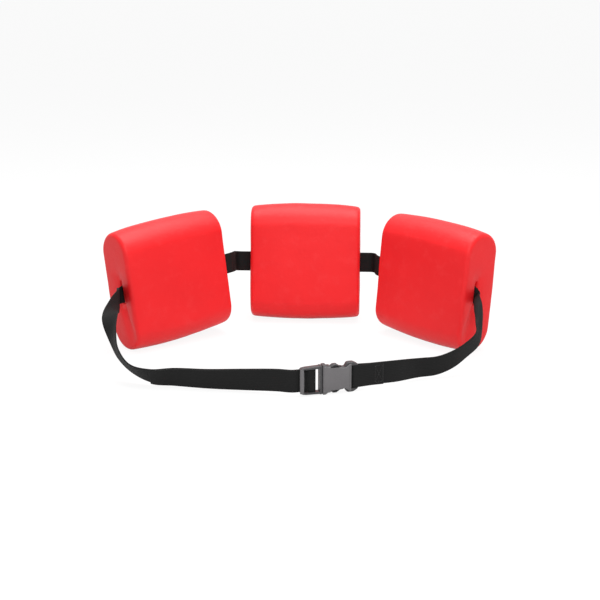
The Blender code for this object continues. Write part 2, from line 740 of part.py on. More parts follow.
def make_belt():
    """Model the whole belt."""
    left = make_float(
        "float_left", LEFT_FLOAT_X, LEFT_FLOAT_Y, LEFT_FLOAT_TURN, LEFT_FLOAT_LEAN, LEFT_FLOAT_DIP
    )
    centre = make_float("float_centre", CENTRE_FLOAT_X, CENTRE_FLOAT_Y, CENTRE_FLOAT_TURN, CENTRE_FLOAT_LEAN)
    right = make_float(
        "float_right", RIGHT_FLOAT_X, RIGHT_FLOAT_Y, RIGHT_FLOAT_TURN, RIGHT_FLOAT_LEAN, RIGHT_FLOAT_DIP
    )
    frame = Matrix.Translation((BUCKLE_X, BUCKLE_Y, BUCKLE_WIDTH / 2))
    frame @= Matrix.Rotation(radians(BUCKLE_TURN), 4, "Z")
    frame @= Matrix.Rotation(pi / 2, 4, "X")
    buckle = empty("buckle_frame", frame)
    make_plug(buckle)
    make_prong("buckle_prong_upper", 1, buckle)
    make_prong("buckle_prong_lower", -1, buckle)
    make_socket(buckle)
    make_stitching(buckle)

    half = FLOAT_LENGTH / 2
    side_lead = half + SIDE_SLIDE_LENGTH + SLIDE_MARGIN
    centre_lead = half + CENTRE_SLIDE_LENGTH + SLIDE_MARGIN
    split = PIECE_GAP / 2
    left_slot = frames([slot_station(left, -half), slot_station(left, side_lead)])
    centre_slot = frames([slot_station(centre, -centre_lead), slot_station(centre, centre_lead)])
    right_slot = frames([slot_station(right, -side_lead), slot_station(right, half)])
    webbing("webbing_in_left_float", left_slot)
    webbing("webbing_in_centre_float", centre_slot)
    webbing("webbing_in_right_float", right_slot)
    webbing("webbing_left_gap", bend(left_slot, centre_slot))
    webbing("webbing_right_gap", bend(centre_slot, right_slot))

    # Left arm and tail
    load, tail = buckle_layers()
    turn = CROSSBAR_RIGHT - CROSSBAR_THICKNESS / 2
    entry = drawn_run(frame, [(-PLUG_LENGTH - BAR_WIDTH, load), (-PLUG_LENGTH, load), (turn, load)], -1)
    corner = (Vector((LEFT_CORNER_X, LEFT_CORNER_Y, LEFT_CORNER_HEIGHT)), leaning(LEFT_CORNER_LEAN, 90))
    stations = fall(left, -1, corner, LEFT_FALL_SHARES)
    run = route(stations + between(corner[0], entry[0][0], LEFT_FRONT_SHARES) + entry)
    corner_along = run_length(run[:STATION_STEPS * (len(stations) - 1) + 1])
    run_end = run_length(run)
    webbing("webbing_left_side", stretch(run, 0, corner_along - split))
    webbing("webbing_left_front", stretch(run, corner_along + split, run_end - PIECE_GAP))
    wrap = plug_wrap(frame)
    webbing("webbing_over_crossbar", wrap)
    tail_end = run_end - (turn - TAIL_START + PIECE_GAP)
    under_tail = stretch(run, tail_end - TAIL_LENGTH, tail_end)
    tail_run = beside(under_tail, -WEBBING_THICKNESS - PIECE_GAP)
    hinge = drawn_run(frame, [(TAIL_START, tail + WEBBING_THICKNESS / 2)], -1)[0][0]
    webbing("webbing_tail", tail_run, hinge)

    # Right arm and sewn loop
    fold = socket_fold(frame)
    lean = leaning(RIGHT_CORNER_LEAN, 90 + BUCKLE_TURN)
    corner = (Vector((RIGHT_CORNER_X, RIGHT_CORNER_Y, RIGHT_CORNER_HEIGHT)), lean)
    stations = fall(right, 1, corner, RIGHT_FALL_SHARES)
    entry = (fold[0][0] + (fold[0][0] - fold[1][0]).normalized() * BAR_WIDTH, fold[0][1])
    run = route(stations + [entry, fold[0]])
    corner_along = run_length(run[:STATION_STEPS * (len(stations) - 1) + 1])
    run_end = run_length(run)
    webbing("webbing_right_side", stretch(run, 0, corner_along - split))
    webbing("webbing_right_front", stretch(run, corner_along + split, run_end - PIECE_GAP))
    webbing("webbing_socket_loop", frames(fold))


for old in list(bpy.data.objects):
    bpy.data.objects.remove(old)
pieces = collection("swim_belt")
cutters = collection("cutters")
make_belt()
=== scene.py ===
# %% [markdown]
# A swim belt in cells. Three foam floats are threaded on one black strap, and a side-release
# buckle closes it. The packed model gives every place, so each piece here is built where the
# model already has it, in metres, with the belt standing on z = 0 and its buckle at -Y.

# %% Load the packed model
from math import atan2, cos, exp, pi, radians, sin

import bmesh
import bpy
from mathutils import Matrix, Vector, noise


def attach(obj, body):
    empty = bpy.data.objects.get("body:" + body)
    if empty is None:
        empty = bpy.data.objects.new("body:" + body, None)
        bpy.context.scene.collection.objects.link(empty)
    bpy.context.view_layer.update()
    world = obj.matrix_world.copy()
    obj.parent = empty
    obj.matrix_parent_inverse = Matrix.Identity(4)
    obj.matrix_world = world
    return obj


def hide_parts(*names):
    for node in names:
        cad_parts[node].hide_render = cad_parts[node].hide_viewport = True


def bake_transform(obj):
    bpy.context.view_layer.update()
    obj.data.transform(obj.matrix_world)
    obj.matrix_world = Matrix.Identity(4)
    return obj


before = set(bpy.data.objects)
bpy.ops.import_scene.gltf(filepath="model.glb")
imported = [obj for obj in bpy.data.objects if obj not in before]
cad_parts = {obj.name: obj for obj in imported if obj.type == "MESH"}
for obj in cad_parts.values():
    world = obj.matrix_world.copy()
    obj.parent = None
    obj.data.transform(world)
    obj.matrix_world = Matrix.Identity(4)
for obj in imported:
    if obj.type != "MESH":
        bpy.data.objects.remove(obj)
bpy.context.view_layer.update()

MM = 0.001
bpy.ops.object.select_all(action="DESELECT")

# %% [markdown]
# The camera comes first, because everything is judged from it. A photograph can be matched by
# turning a view by hand until it looks alike, or by working the camera out from edges whose real
# lengths are known. This one was worked out from the floats and the buckle: it stands about one
# and a half metres away, looks 15 degrees down on the belt, and has a 74 mm lens.

# %% Camera
CAMERA_PLACE = (0, -1.4184, 0.4442)
LOOKS_DOWN = 15.14
LENS = 74.29

bpy.ops.object.camera_add(location=CAMERA_PLACE, rotation=(radians(90 - LOOKS_DOWN), 0, 0))
camera = bpy.context.object
camera.data.lens = LENS
camera.data.sensor_width = 36
scene = bpy.context.scene
scene.camera = camera
scene.view_settings.view_transform = "Standard"
print("camera at", tuple(camera.location))

# %% [markdown]
# Shader maths reads best as ordinary arithmetic. A Socket wraps one output of a node, and each
# operator on it adds the Math node that does the sum. The same nodes could be placed by hand in
# the Shader editor, but written down like this they are short, and one finish can be compared
# with the next.

# %% Shader arithmetic
class Socket:
    """One output of a node, on which arithmetic adds Math nodes."""

    def __init__(self, shader, output):
        self.shader = shader
        self.output = output

    def math(self, operation, *others):
        inputs = dict(enumerate((self, *others)))
        return self.shader.node("Math", {"operation": operation}, inputs)

    def __add__(self, other):
        return self.math("ADD", other)

    def __sub__(self, other):
        return self.math("SUBTRACT", other)

    def __rsub__(self, other):
        return self.shader.node("Math", {"operation": "SUBTRACT"}, {0: other, 1: self})

    def __mul__(self, other):
        return self.math("MULTIPLY", other)

    def __pow__(self, other):
        return self.math("POWER", other)

    def wave(self):
        """A sine wave that swings between 0 and 1, once for each 1 of the value."""
        return (self * (2 * pi)).math("SINE") * 0.5 + 0.5

    __radd__ = __add__
    __rmul__ = __mul__


print("sums on sockets:", [name for name in vars(Socket) if name.startswith("__r")])

# %% [markdown]
# A Shader is the node tree of a material or of the world while it is being built. Its node
# method adds any kind of node, and its set method fills the surface that the tree started with.
# A Finish is the Shader of one material, with short names for the nodes that every finish here
# needs: noise, a mix of two colours, a ramp and a bump.

# %% Materials as node trees
MIX_SHARE, MIX_FIRST, MIX_SECOND = 0, 6, 7
MIX_COLOUR = 2
WHITE = (1, 1, 1, 1)


def grey(level):
    return (level, level, level)


def colour4(colour):
    """A colour with its alpha, or a socket as it is."""
    return colour if isinstance(colour, Socket) else (*colour, 1)


class Shader:
    """A node tree while it is being built."""

    def __init__(self, tree, surface, output):
        self.tree = tree
        self.surface = tree.nodes[surface]
        self.output = tree.nodes[output]

    def feed(self, socket, value):
        if isinstance(value, Socket):
            self.tree.links.new(value.output, socket)
        else:
            socket.default_value = value

    def node(self, kind, settings=None, inputs=None, output=0):
        """Add a node: its type, its settings, what its sockets get, and which output to use."""
        made = self.tree.nodes.new("ShaderNode" + kind)
        for setting, value in (settings or {}).items():
            if setting == "stops":
                while len(made.color_ramp.elements) < len(value):
                    made.color_ramp.elements.new(0.5)
                for element, (position, colour) in zip(made.color_ramp.elements, value):
                    element.position = position
                    element.color = colour4(colour)
            else:
                setattr(made, setting, value)
        for socket, value in (inputs or {}).items():
            self.feed(made.inputs[socket], value)
        return Socket(self, made.outputs[output])

    def set(self, **values):
        """Fill sockets of the surface, with _ for each space in a name."""
        for name, value in values.items():
            self.feed(self.surface.inputs[name.replace("_", " ")], value)


class Finish(Shader):
    """One material while it is being built."""

    def __init__(self, name):
        self.material = bpy.data.materials.new(name)
        self.material.use_nodes = True
        super().__init__(self.material.node_tree, "Principled BSDF", "Material Output")
        self.place = self.node("TexCoord", output="Object")

    def noise(self, scale, detail=2.0, roughness=0.5, vector=None):
        inputs = {"Vector": vector or self.place, "Scale": scale}
        inputs |= {"Detail": detail, "Roughness": roughness}
        return self.node("TexNoise", None, inputs)

    def mix(self, share, first, second):
        """A colour between two colours. A Mix node has a set of sockets for each type of data."""
        inputs = {MIX_SHARE: share, MIX_FIRST: colour4(first), MIX_SECOND: colour4(second)}
        return self.node("Mix", {"data_type": "RGBA"}, inputs, output=MIX_COLOUR)

    def ramp(self, value, *stops):
        """A grey or colour that follows a value between stops."""
        return self.node("ValToRGB", {"stops": stops}, {"Fac": value})

    def bump(self, height, distance, strength=1.0, normal=None):
        inputs = {"Height": height, "Distance": distance, "Strength": strength}
        if normal:
            inputs["Normal"] = normal
        return self.node("Bump", None, inputs)


print("a finish can add:", [name for name in vars(Finish) if not name.startswith("_")])

# %% [markdown]
# The floats are closed-cell foam with a sealed skin. The skin is a saturated red with a satin
# face, so it picks up broad pale highlights where it turns to the light. A single flat red would
# look like plastic. The real finish is never perfectly even, so noise at several sizes gives
# slow changes in tone, a fine orange peel, tiny specks and faint scuffs. Object coordinates are
# used, because the blocks have no seams that a pattern should follow.

# %% Finish: sealed red foam
FOAM_DEEP = (0.83, 0.009, 0.013)
FOAM_BRIGHT = (0.93, 0.018, 0.022)
FOAM_WORN = (0.93, 0.045, 0.050)


def foam_finish():
    finish = Finish("red_foam_skin")
    broad = finish.noise(14, 2)
    fine = finish.noise(900, 3, 0.6)
    peel = finish.noise(260, 2, 0.5)
    specks = finish.noise(2600, 1)
    scuffs = finish.noise(70, 6, 0.7)
    tone = finish.mix(broad, FOAM_DEEP, FOAM_BRIGHT)
    worn = finish.ramp(scuffs, (0.52, grey(0.0)), (0.76, grey(0.45)))
    colour = finish.mix(worn, tone, FOAM_WORN)
    skin = finish.bump(peel * 0.7 + fine * 0.3, distance=0.00045, strength=0.6)
    skin = finish.bump(specks, distance=0.00005, strength=0.25, normal=skin)
    finish.set(Base_Color=colour, Roughness=broad * 0.10 + scuffs * 0.12 + 0.38, Normal=skin)
    finish.set(Specular_IOR_Level=0.33)
    return finish.material


foam = foam_finish()
print("finish:", foam.name)

# %% [markdown]
# Webbing is a dense narrow weave. Its UV map runs along the strap and across it, both counted
# in strap widths, so the pattern follows every bend, which Object coordinates couldn't do. The
# weave is a fine herringbone: columns across the strap, and in each column diagonal ribs whose
# slope turns at the next column. Threads modelled one by one would cost millions of faces, and
# from this far the bump shows as much.

# %% Finish: black webbing
WEAVE_COLUMNS = 13
RIBS_PER_WIDTH = 24
EDGE_RIBS_PER_WIDTH = 34


def webbing_finish():
    finish = Finish("black_webbing_weave")
    uv = finish.node("UVMap", {"uv_map": "weave"})
    split = {"Vector": uv}
    along = finish.node("SeparateXYZ", None, split, output="X")
    across = finish.node("SeparateXYZ", None, split, output="Y")
    column = across * WEAVE_COLUMNS
    slope = column.math("PINGPONG", 1.0)
    ribs = (along * RIBS_PER_WIDTH + slope * 0.8).wave()
    lanes = (column.wave() * -1 + 1) ** 0.5
    middle = (across - 0.5).math("ABSOLUTE")
    selvedge = finish.ramp(middle, (0.455, grey(0.0)), (0.475, grey(1.0)))
    edge_ribs = (along * EDGE_RIBS_PER_WIDTH).wave()
    weave = ribs * lanes
    fuzz = finish.noise(4200, 2)
    wear = finish.noise(60, 4, 0.6)
    height = finish.mix(selvedge, weave, edge_ribs)
    # Paler on the ribs of the weave and darker between them: painted shade, with random fibre tone.
    lit = finish.mix(weave * 0.6 + fuzz * 0.4, grey(0.0035), grey(0.021))
    colour = finish.mix(wear * 0.5, lit, grey(0.014))
    woven = finish.bump(height, distance=0.00018, strength=0.75)
    woven = finish.bump(fuzz, distance=0.00006, strength=0.5, normal=woven)
    finish.set(Base_Color=colour, Roughness=fuzz * 0.15 + 0.62, Normal=woven)
    finish.set(Specular_IOR_Level=0.15)
    return finish.material


webbing = webbing_finish()
print("finish:", webbing.name)

# %% [markdown]
# The buckle is moulded in a dark grey plastic with a fine spark-eroded grain. It is drawn with
# two copies of the same finish: a lighter one, painted light, on the covers and the outer bar that
# face the lamps, and a darker one, painted shade, on the frame, ears and sides. That could be
# painted as a mask, but two materials from one function stay crisp at the edges of a part. The
# roughness wanders, and tiny nicks are paler.

# %% Finish: moulded grey plastic
# The darker tones are painted shade and the lighter tones painted light, on one grey plastic.
PAINTED_SHADE_TONES = ((0.040, 0.038, 0.040), (0.060, 0.057, 0.060))
PAINTED_LIGHT_TONES = ((0.128, 0.122, 0.126), (0.165, 0.156, 0.161))
SCRATCH_STRETCH = (160, 900, 900)


def plastic_finish(name, dark, light, roughness):
    """Grey plastic between two tones, with a roughness to start from."""
    finish = Finish(name)
    grain = finish.noise(3800, 2, 0.6)
    cloud = finish.noise(90, 3)
    stretched = finish.node("Mapping", None, {"Vector": finish.place, "Scale": SCRATCH_STRETCH})
    scratches = finish.noise(1.0, 4.0, 0.65, stretched)
    nicks = finish.ramp(scratches, (0.66, grey(0.0)), (0.80, grey(0.4)))
    colour = finish.mix(nicks, finish.mix(cloud, dark, light), grey(0.21))
    moulded = finish.bump(grain, distance=0.00008, strength=0.45)
    finish.set(Base_Color=colour, Roughness=cloud * 0.12 + grain * 0.1 + roughness, Normal=moulded)
    finish.set(Specular_IOR_Level=0.45)
    return finish.material


# Two copies of one finish: the first with painted shade, the second with painted light.
plastic = plastic_finish("grey_plastic_frame", *PAINTED_SHADE_TONES, roughness=0.36)
painted_light_plastic = plastic_finish("grey_plastic_rubbed", *PAINTED_LIGHT_TONES, roughness=0.28)
print("finishes:", plastic.name, painted_light_plastic.name)

# %% [markdown]
# The stitches are a thick twisted thread. Each stitch is only about half a millimetre wide, so
# its strands needn't be modelled: a fine diagonal stripe in the tone and the bump is enough.

# %% Finish: black thread
TWISTS_PER_METRE = 1500


def thread_finish():
    finish = Finish("black_sewing_thread")
    split = {"Vector": finish.place}
    height = finish.node("SeparateXYZ", None, split, output="Z")
    side = finish.node("SeparateXYZ", None, split, output="X")
    twist = (height * TWISTS_PER_METRE + side * TWISTS_PER_METRE).wave()
    fibre = finish.noise(5000, 2)
    colour = finish.mix(twist * 0.7 + fibre * 0.3, grey(0.003), grey(0.012))
    finish.set(Base_Color=colour, Roughness=0.5)
    finish.set(Normal=finish.bump(twist, distance=0.00008, strength=0.6))
    return finish.material


thread = thread_finish()
print("finish:", thread.name)

# %% [markdown]
# A float is drawn once, lying along X around its own middle, and then placed three times. The
# real one is a block of foam about 14 cm long, 15 cm tall and 5.5 cm thick, with a slot from end
# to end for the strap, a little nearer to the wearer than its middle. Each float stands turned,
# leans back and dips a little at one end. Those three turns were fitted to the photograph.

# %% Float: sizes and places
FLOAT_LENGTH = 0.140
FLOAT_HALF_HEIGHT = 0.075
FLOAT_HALF_THICKNESS = 0.0275
FLOAT_EDGE = 0.005
SLOT_SETBACK = 0.003

FLOAT_PLACES = {
    "left": (-0.1593, 0.0384, 0.07648, 38.8, -4.7, -4.5),
    "centre": (0.0076, 0.1395, 0.0745, -2.9, -6.2, 0.0),
    "right": (0.1624, 0.0339, 0.07502, -47.7, -4.0, 1.7),
}


def float_frame(side):
    """Where a float stands: its place, turn, lean back and dip."""
    x, y, z, turn, lean, dip = FLOAT_PLACES[side]
    turned = Matrix.Rotation(radians(turn), 4, "Z")
    turned @= Matrix.Rotation(radians(lean), 4, "X")
    turned @= Matrix.Rotation(radians(dip), 4, "Y")
    return Matrix.Translation((x, y, z)) @ turned


print("float frames:", sorted(FLOAT_PLACES))

# %% [markdown]
# The block starts as a cylinder without ends. Its upper and lower halves are pulled apart, which
# leaves flat faces between a round top and a round bottom. A cube with a wide bevel would give
# the same block, but its ends would have to be opened again for the slot. The cuts along and
# across it are there so that the skin can be pressed later. In edit mode an operator acts on
# what is selected, so a helper selects whatever passes a test.

# %% Float: the block
ROUND_SIDES = 56
FLAT_CUTS = 6
LENGTH_CUTS = 11
X, Y, Z = range(3)


def pick(piece, what, test):
    """Select the verts or edges that pass a test, in edit mode, and count them."""
    bpy.ops.mesh.select_all(action="DESELECT")
    bpy.ops.mesh.select_mode(type={"verts": "VERT", "edges": "EDGE"}[what])
    mesh = bmesh.from_edit_mesh(piece.data)
    found = [part for part in getattr(mesh, what) if test(part)]
    for part in found:
        part.select_set(True)
    mesh.select_flush_mode()
    bmesh.update_edit_mesh(piece.data)
    return len(found)


def longer_than(length, axis):
    """A test for edges that run further than a length along one axis."""
    return lambda edge: abs(edge.verts[0].co[axis] - edge.verts[1].co[axis]) > length


def float_block():
    """An open tube with two flat faces, along X."""
    bpy.ops.mesh.primitive_cylinder_add(
        vertices=ROUND_SIDES, radius=FLOAT_HALF_THICKNESS, depth=FLOAT_LENGTH - 2 * FLOAT_EDGE,
        end_fill_type="NOTHING", rotation=(0, pi / 2, 0),
    )
    piece = bpy.context.object
    bpy.ops.object.transform_apply(location=True, rotation=True, scale=True)
    bpy.ops.object.mode_set(mode="EDIT")
    pull = FLOAT_HALF_HEIGHT - FLOAT_HALF_THICKNESS
    for sign in (1, -1):
        pick(piece, "verts", lambda vert: vert.co.z * sign > MM / 10)
        bpy.ops.transform.translate(value=(0, 0, pull * sign))
    for length, axis, cuts in ((pull / 2, Z, FLAT_CUTS), (FLOAT_LENGTH / 2, X, LENGTH_CUTS)):
        pick(piece, "edges", longer_than(length, axis))
        bpy.ops.mesh.subdivide(number_cuts=cuts)
    bpy.ops.object.mode_set(mode="OBJECT")
    return piece


blank = float_block()
print("float block:", len(blank.data.vertices), "vertices")

# %% [markdown]
# Each open rim is rounded over in a few short pulls that follow a quarter circle. A bevel needs
# two faces that meet, and an open rim has only one. The skin is then bridged to a small ring,
# the mouth of the slot. It is a circle whose sides are straightened, since the flat strap keeps
# the real slot open evenly and only its two ends are pinched. Each step of the throat says how
# deep it goes, and the share of its gap and of its height that is left.

# %% Float: rounded ends and slot mouths
EDGE_STEPS = 4
END_CUTS = 7
MOUTH_HALF_HEIGHT = 0.0158
MOUTH_HALF_GAP = 0.0034
MOUTH_SQUARENESS = 5
THROAT = ((0.0015, 0.80, 0.96), (0.0035, 0.60, 0.92), (0.0040, 0.82, 0.94))


def rim(edge_x):
    """A test for edges that lie in the plane at one place along X."""
    return lambda edge: all(abs(vert.co.x - edge_x) < MM / 10 for vert in edge.verts)


def pull_rim(x, narrower, lower, centre):
    """Pull the selected rim along X, and resize it around a centre."""
    bpy.ops.mesh.extrude_edges_move(TRANSFORM_OT_translate={"value": (x, 0, 0)})
    bpy.ops.transform.resize(value=(1, narrower, lower), center_override=centre)


def round_over(piece, sign):
    """Round one rim over along a quarter circle."""
    half_y = FLOAT_HALF_THICKNESS
    half_z = FLOAT_HALF_HEIGHT
    edge_x = sign * (FLOAT_LENGTH / 2 - FLOAT_EDGE)
    pick(piece, "edges", rim(edge_x))
    inset = reach = 0.0
    for step in range(1, EDGE_STEPS + 1):
        angle = pi / 2 * step / EDGE_STEPS
        new_inset = FLOAT_EDGE * (1 - cos(angle))
        new_reach = FLOAT_EDGE * sin(angle)
        narrower = (half_y - new_inset) / (half_y - inset)
        lower = (half_z - new_inset) / (half_z - inset)
        pull_rim(sign * (new_reach - reach), narrower, lower, (edge_x, 0, 0))
        inset = new_inset
        reach = new_reach


def open_mouth(piece, sign):
    """Carry the skin of one end in to the mouth of the slot, and on into the block."""
    end_x = sign * FLOAT_LENGTH / 2
    middle = (end_x, -SLOT_SETBACK, 0)
    around = pick(piece, "edges", rim(end_x))
    bpy.ops.mesh.select_all(action="DESELECT")
    bpy.ops.mesh.primitive_circle_add(
        vertices=around, radius=1, location=middle, rotation=(0, pi / 2, 0),
    )
    bpy.ops.transform.resize(value=(1, MOUTH_HALF_GAP, MOUTH_HALF_HEIGHT), center_override=middle)
    mesh = bmesh.from_edit_mesh(piece.data)
    for vertex in (vertex for vertex in mesh.verts if vertex.select):
        share = min(1.0, abs(vertex.co.z / MOUTH_HALF_HEIGHT))
        gap = MOUTH_HALF_GAP * (1 - share ** MOUTH_SQUARENESS) ** 0.5
        vertex.co.y = (gap if vertex.co.y > -SLOT_SETBACK else -gap) - SLOT_SETBACK
    bmesh.update_edit_mesh(piece.data)
    pick(piece, "edges", rim(end_x))
    bpy.ops.mesh.bridge_edge_loops(number_cuts=END_CUTS, interpolation="LINEAR")
    pick(piece, "edges", lambda edge: rim(end_x)(edge) and edge.is_boundary)
    for depth, narrower, lower in THROAT:
        pull_rim(-sign * depth, narrower, lower, middle)
    return around


bpy.ops.object.mode_set(mode="EDIT")
for sign in (1, -1):
    round_over(blank, sign)
    print("mouth ring:", open_mouth(blank, sign), "edges")

# %% [markdown]
# Both throats still end in an open ring. One bridge between them makes the slot a real tunnel,
# which a dark patch on each end could only pretend. The block is then crowned and arched,
# because a moulded float is fuller in the middle of its faces, and taller in the middle of its
# length.

# %% Float: tunnel, crown and arch
TUNNEL_CUTS = 8
FACE_CROWN = 0.055
FLOAT_ARCH = 0.0038

pick(blank, "edges", lambda edge: edge.is_boundary)
bpy.ops.mesh.bridge_edge_loops(number_cuts=TUNNEL_CUTS, interpolation="LINEAR")
bpy.ops.mesh.select_all(action="SELECT")
bpy.ops.mesh.normals_make_consistent(inside=False)
bpy.ops.object.mode_set(mode="OBJECT")
for vertex in blank.data.vertices:
    along = (2 * vertex.co.x / FLOAT_LENGTH) ** 2
    up = (vertex.co.z / FLOAT_HALF_HEIGHT) ** 2
    if abs(vertex.co.y) > FLOAT_HALF_THICKNESS / 2:
        vertex.co.y *= 1 + FACE_CROWN * (1 - along) * (1 - up)
    vertex.co.z *= 1 - FLOAT_ARCH / FLOAT_HALF_HEIGHT * along
print("float blank:", len(blank.data.polygons), "faces")

# %% [markdown]
# Foam never comes out as smooth as a drawing. The skin sinks in around each mouth, where the
# strap pulls at it, a soft crease runs down from the two outer mouths towards the wearer, and
# the big faces wander by a few tenths of a millimetre. Sculpting would do this by hand. Here
# each vertex is moved by its distance from a line on the end face, so it can be done again.

# %% Float: pressing the skin
MOUTH_DEPTH = 0.0022
MOUTH_SPREAD = 0.0085
MOUTH_REACH = 0.012
SLOT_WALL = MOUTH_HALF_GAP * 1.1
END_FACE_DEPTH = 0.002
CREASE_END = (-0.0190, -0.062)
CREASE_DEPTH = 0.0045
CREASE_SPREAD = 0.0048
SWELLS = ((22, 0.0006), (60, 0.00018))


def distance_to_line(y, z, start, end):
    """How far a point of the end face is from a line on it, and its share of the line's length."""
    way = Vector((end[0] - start[0], end[1] - start[1]))
    far = Vector((y - start[0], z - start[1]))
    share = max(0.0, min(1.0, far.dot(way) / way.length_squared))
    return (far - way * share).length, share


def bell(distance, spread):
    """A soft hump that is 1 at no distance and fades away over its spread."""
    return exp(-(distance / spread) ** 2)


def press(piece, creased_ends, seed):
    """Press the skin in and out. The seed moves the swells, so that no two floats are alike."""
    mouth_start = (-SLOT_SETBACK, -MOUTH_HALF_HEIGHT)
    mouth_end = (-SLOT_SETBACK, MOUTH_HALF_HEIGHT)
    shift = Vector((seed, seed * 2, seed * 3))
    normals = [vertex.normal.copy() for vertex in piece.data.vertices]
    for vertex, normal in zip(piece.data.vertices, normals):
        x, y, z = vertex.co
        side = 1 if x > 0 else -1
        depth = FLOAT_LENGTH / 2 - abs(x)
        near, _ = distance_to_line(y, z, mouth_start, mouth_end)
        if near < SLOT_WALL:
            vertex.co.x -= side * MOUTH_DEPTH * max(0.0, 1 - depth / MOUTH_REACH)
            continue
        swell = sum(noise.noise(vertex.co * scale + shift) * height for scale, height in SWELLS)
        vertex.co += normal * swell
        if depth > END_FACE_DEPTH:
            continue
        sink = MOUTH_DEPTH * bell(near, MOUTH_SPREAD)
        if side in creased_ends:
            near, share = distance_to_line(y, z, mouth_start, CREASE_END)
            sink += CREASE_DEPTH * bell(near, CREASE_SPREAD * (1 + share)) * (1 - share) ** 0.5
        vertex.co.x -= side * sink


print("crease ends", [round(value / MM) for value in CREASE_END], "mm from the float's middle")

# %% [markdown]
# The three floats are copies of the blank, each with a mesh of its own. A copy is smoothed once
# before it is pressed, so that there are enough vertices to press, and once after, so that what
# was pressed comes out soft. Its place goes into the mesh, and the object stays at the origin.

# %% Float: three copies
CREASED_ENDS = {"left": (-1,), "centre": (), "right": (1,)}
SWELL_SEEDS = {"left": 1.3, "centre": 4.1, "right": 7.7}


def apply_modifier(piece, kind, **settings):
    """Add a modifier and apply it at once."""
    bpy.context.view_layer.objects.active = piece
    modifier = piece.modifiers.new(kind.lower(), kind)
    for setting, value in settings.items():
        setattr(modifier, setting, value)
    bpy.ops.object.modifier_apply(modifier=modifier.name)


def copy_of(piece):
    """A copy of a piece, with its own mesh."""
    twin = piece.copy()
    twin.data = piece.data.copy()
    scene.collection.objects.link(twin)
    return twin


def lay(piece, matrix):
    """Put a piece where its matrix says, with its place in its mesh."""
    piece.data.transform(matrix)
    piece.data.update()


def make_float(side):
    bpy.ops.object.select_all(action="DESELECT")
    piece = copy_of(blank)
    piece.name = piece.data.name = "foam_float_" + side
    piece.select_set(True)
    apply_modifier(piece, "SUBSURF", levels=1, render_levels=1)
    press(piece, CREASED_ENDS[side], SWELL_SEEDS[side])
    apply_modifier(piece, "SUBSURF", levels=1, render_levels=1)
    bpy.ops.object.shade_smooth()
    lay(piece, float_frame(side))
    piece.data.materials.append(foam)
    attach(piece, side + "_float")
    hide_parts("float_" + side)
    print(piece.name, len(piece.data.polygons), "faces")


for side in FLOAT_PLACES:
    make_float(side)
bpy.data.objects.remove(blank)

# %% [markdown]
# The strap is one flat band of webbing that turns over once on each side of the belt. A curve
# could carry such a band, but its tilt is counted from the curve's own twist, which is hard to
# fit to a photograph. So it is followed as stations: a place in millimetres, how far the band's
# upper edge leans over, the compass direction that it leans to, and the share of its width that
# is left where it curls. On its way out of an outer mouth it lies low and bunched. Each row
# there says how deep it is in the float, how low it lies, and the share of its width.

# %% Strap: stations
WIDTH = 0.025
THICKNESS = 0.0015
GAP = 0.0003

LEFT_EXIT = ((25, 0.0, 1.00), (13, 0.9, 0.95), (4, 2.3, 0.82))
LEFT_ARM = (
    (-210.9, -7.5, 68.50, 5, 173, 0.79),
    (-212.0, -8.4, 68.34, 5, 173, 0.77),
    (-212.4, -8.8, 68.31, 5, 173, 0.77),
    (-210.3, -29.5, 69.9, 4, -71, 0.98),
    (-212.5, -53.5, 67.7, 28, -172, 0.77),
    (-213.2, -81.5, 63.6, 110, 178, 0.78),
    (-208.1, -101.4, 48.4, 138, 129, 0.94),
    (-200.0, -118.8, 31.5, 137, 96, 1.00),
    (-184.5, -132.1, 18.6, 132, 85, 0.96),
    (-162.3, -140.1, 12.8, 143, 88, 1.00),
    (-138.0, -141.4, 12.8, 153, 90, 1.00),
    (-99.6, -149.2, 13.2, 160, 90, 1.00),
    (-59.9, -155.4, 14.4, 170, 90, 1.00),
    (-24.2, -163.2, 16.2, 178, 90, 1.00),
)
RIGHT_EXIT = ((25, 0.0, 1.00), (13, 1.2, 0.92), (4, 3.0, 0.76))
RIGHT_ARM = (
    (205.8, -18.6, 69.66, 4, 19, 0.70),
    (206.9, -19.9, 69.40, 4, 19, 0.65),
    (207.2, -20.5, 69.34, 4, 19, 0.63),
    (204.4, -31.5, 69.8, 25, -29, 0.50),
    (203.7, -51.3, 67.2, 71, -10, 0.38),
    (203.7, -70.1, 53.6, 121, 25, 0.42),
    (200.0, -85.2, 38.8, 139, 67, 0.94),
    (185.4, -94.6, 27.6, 143, 72, 1.00),
    (169.2, -103.1, 19.3, 153, 70, 1.00),
    (151.6, -109.7, 14.6, 162, 82, 1.00),
    (134.0, -114.4, 14.0, 166, 108, 1.00),
)


def station(x, y, z, lean, heading, share):
    """A place on the strap's middle, and its edge direction, as long as its share of the width."""
    lean = radians(lean)
    heading = radians(heading)
    edge = Vector((sin(lean) * cos(heading), sin(lean) * sin(heading), cos(lean)))
    return Vector((x, y, z)) * MM, edge * share


def in_slot(side, x, drop=0.0, share=1.0):
    """A station inside a float's slot, which may lie low and bunched there."""
    matrix = float_frame(side)
    return matrix @ Vector((x, -SLOT_SETBACK, -drop)), matrix.to_3x3() @ Vector((0, 0, share))


def out_of_slot(side, sign, rows):
    """The stations on the way out of a float's outer mouth."""
    half = FLOAT_LENGTH / 2
    return [in_slot(side, sign * (half - depth * MM), drop * MM, share)
            for depth, drop, share in rows]


print("stations:", len(LEFT_ARM), "on the left arm,", len(RIGHT_ARM), "on the right")

# %% [markdown]
# Webbing bends smoothly, so a smooth run goes through the stations. Each station gets a slope
# from its two neighbours, and a cubic curve joins it to the next with those slopes. The edge
# direction follows in the same way, which gives the twist. Between two floats the strap hangs
# in one curve that leaves each of them straight.

# %% Strap: smooth runs
STEPS = 12


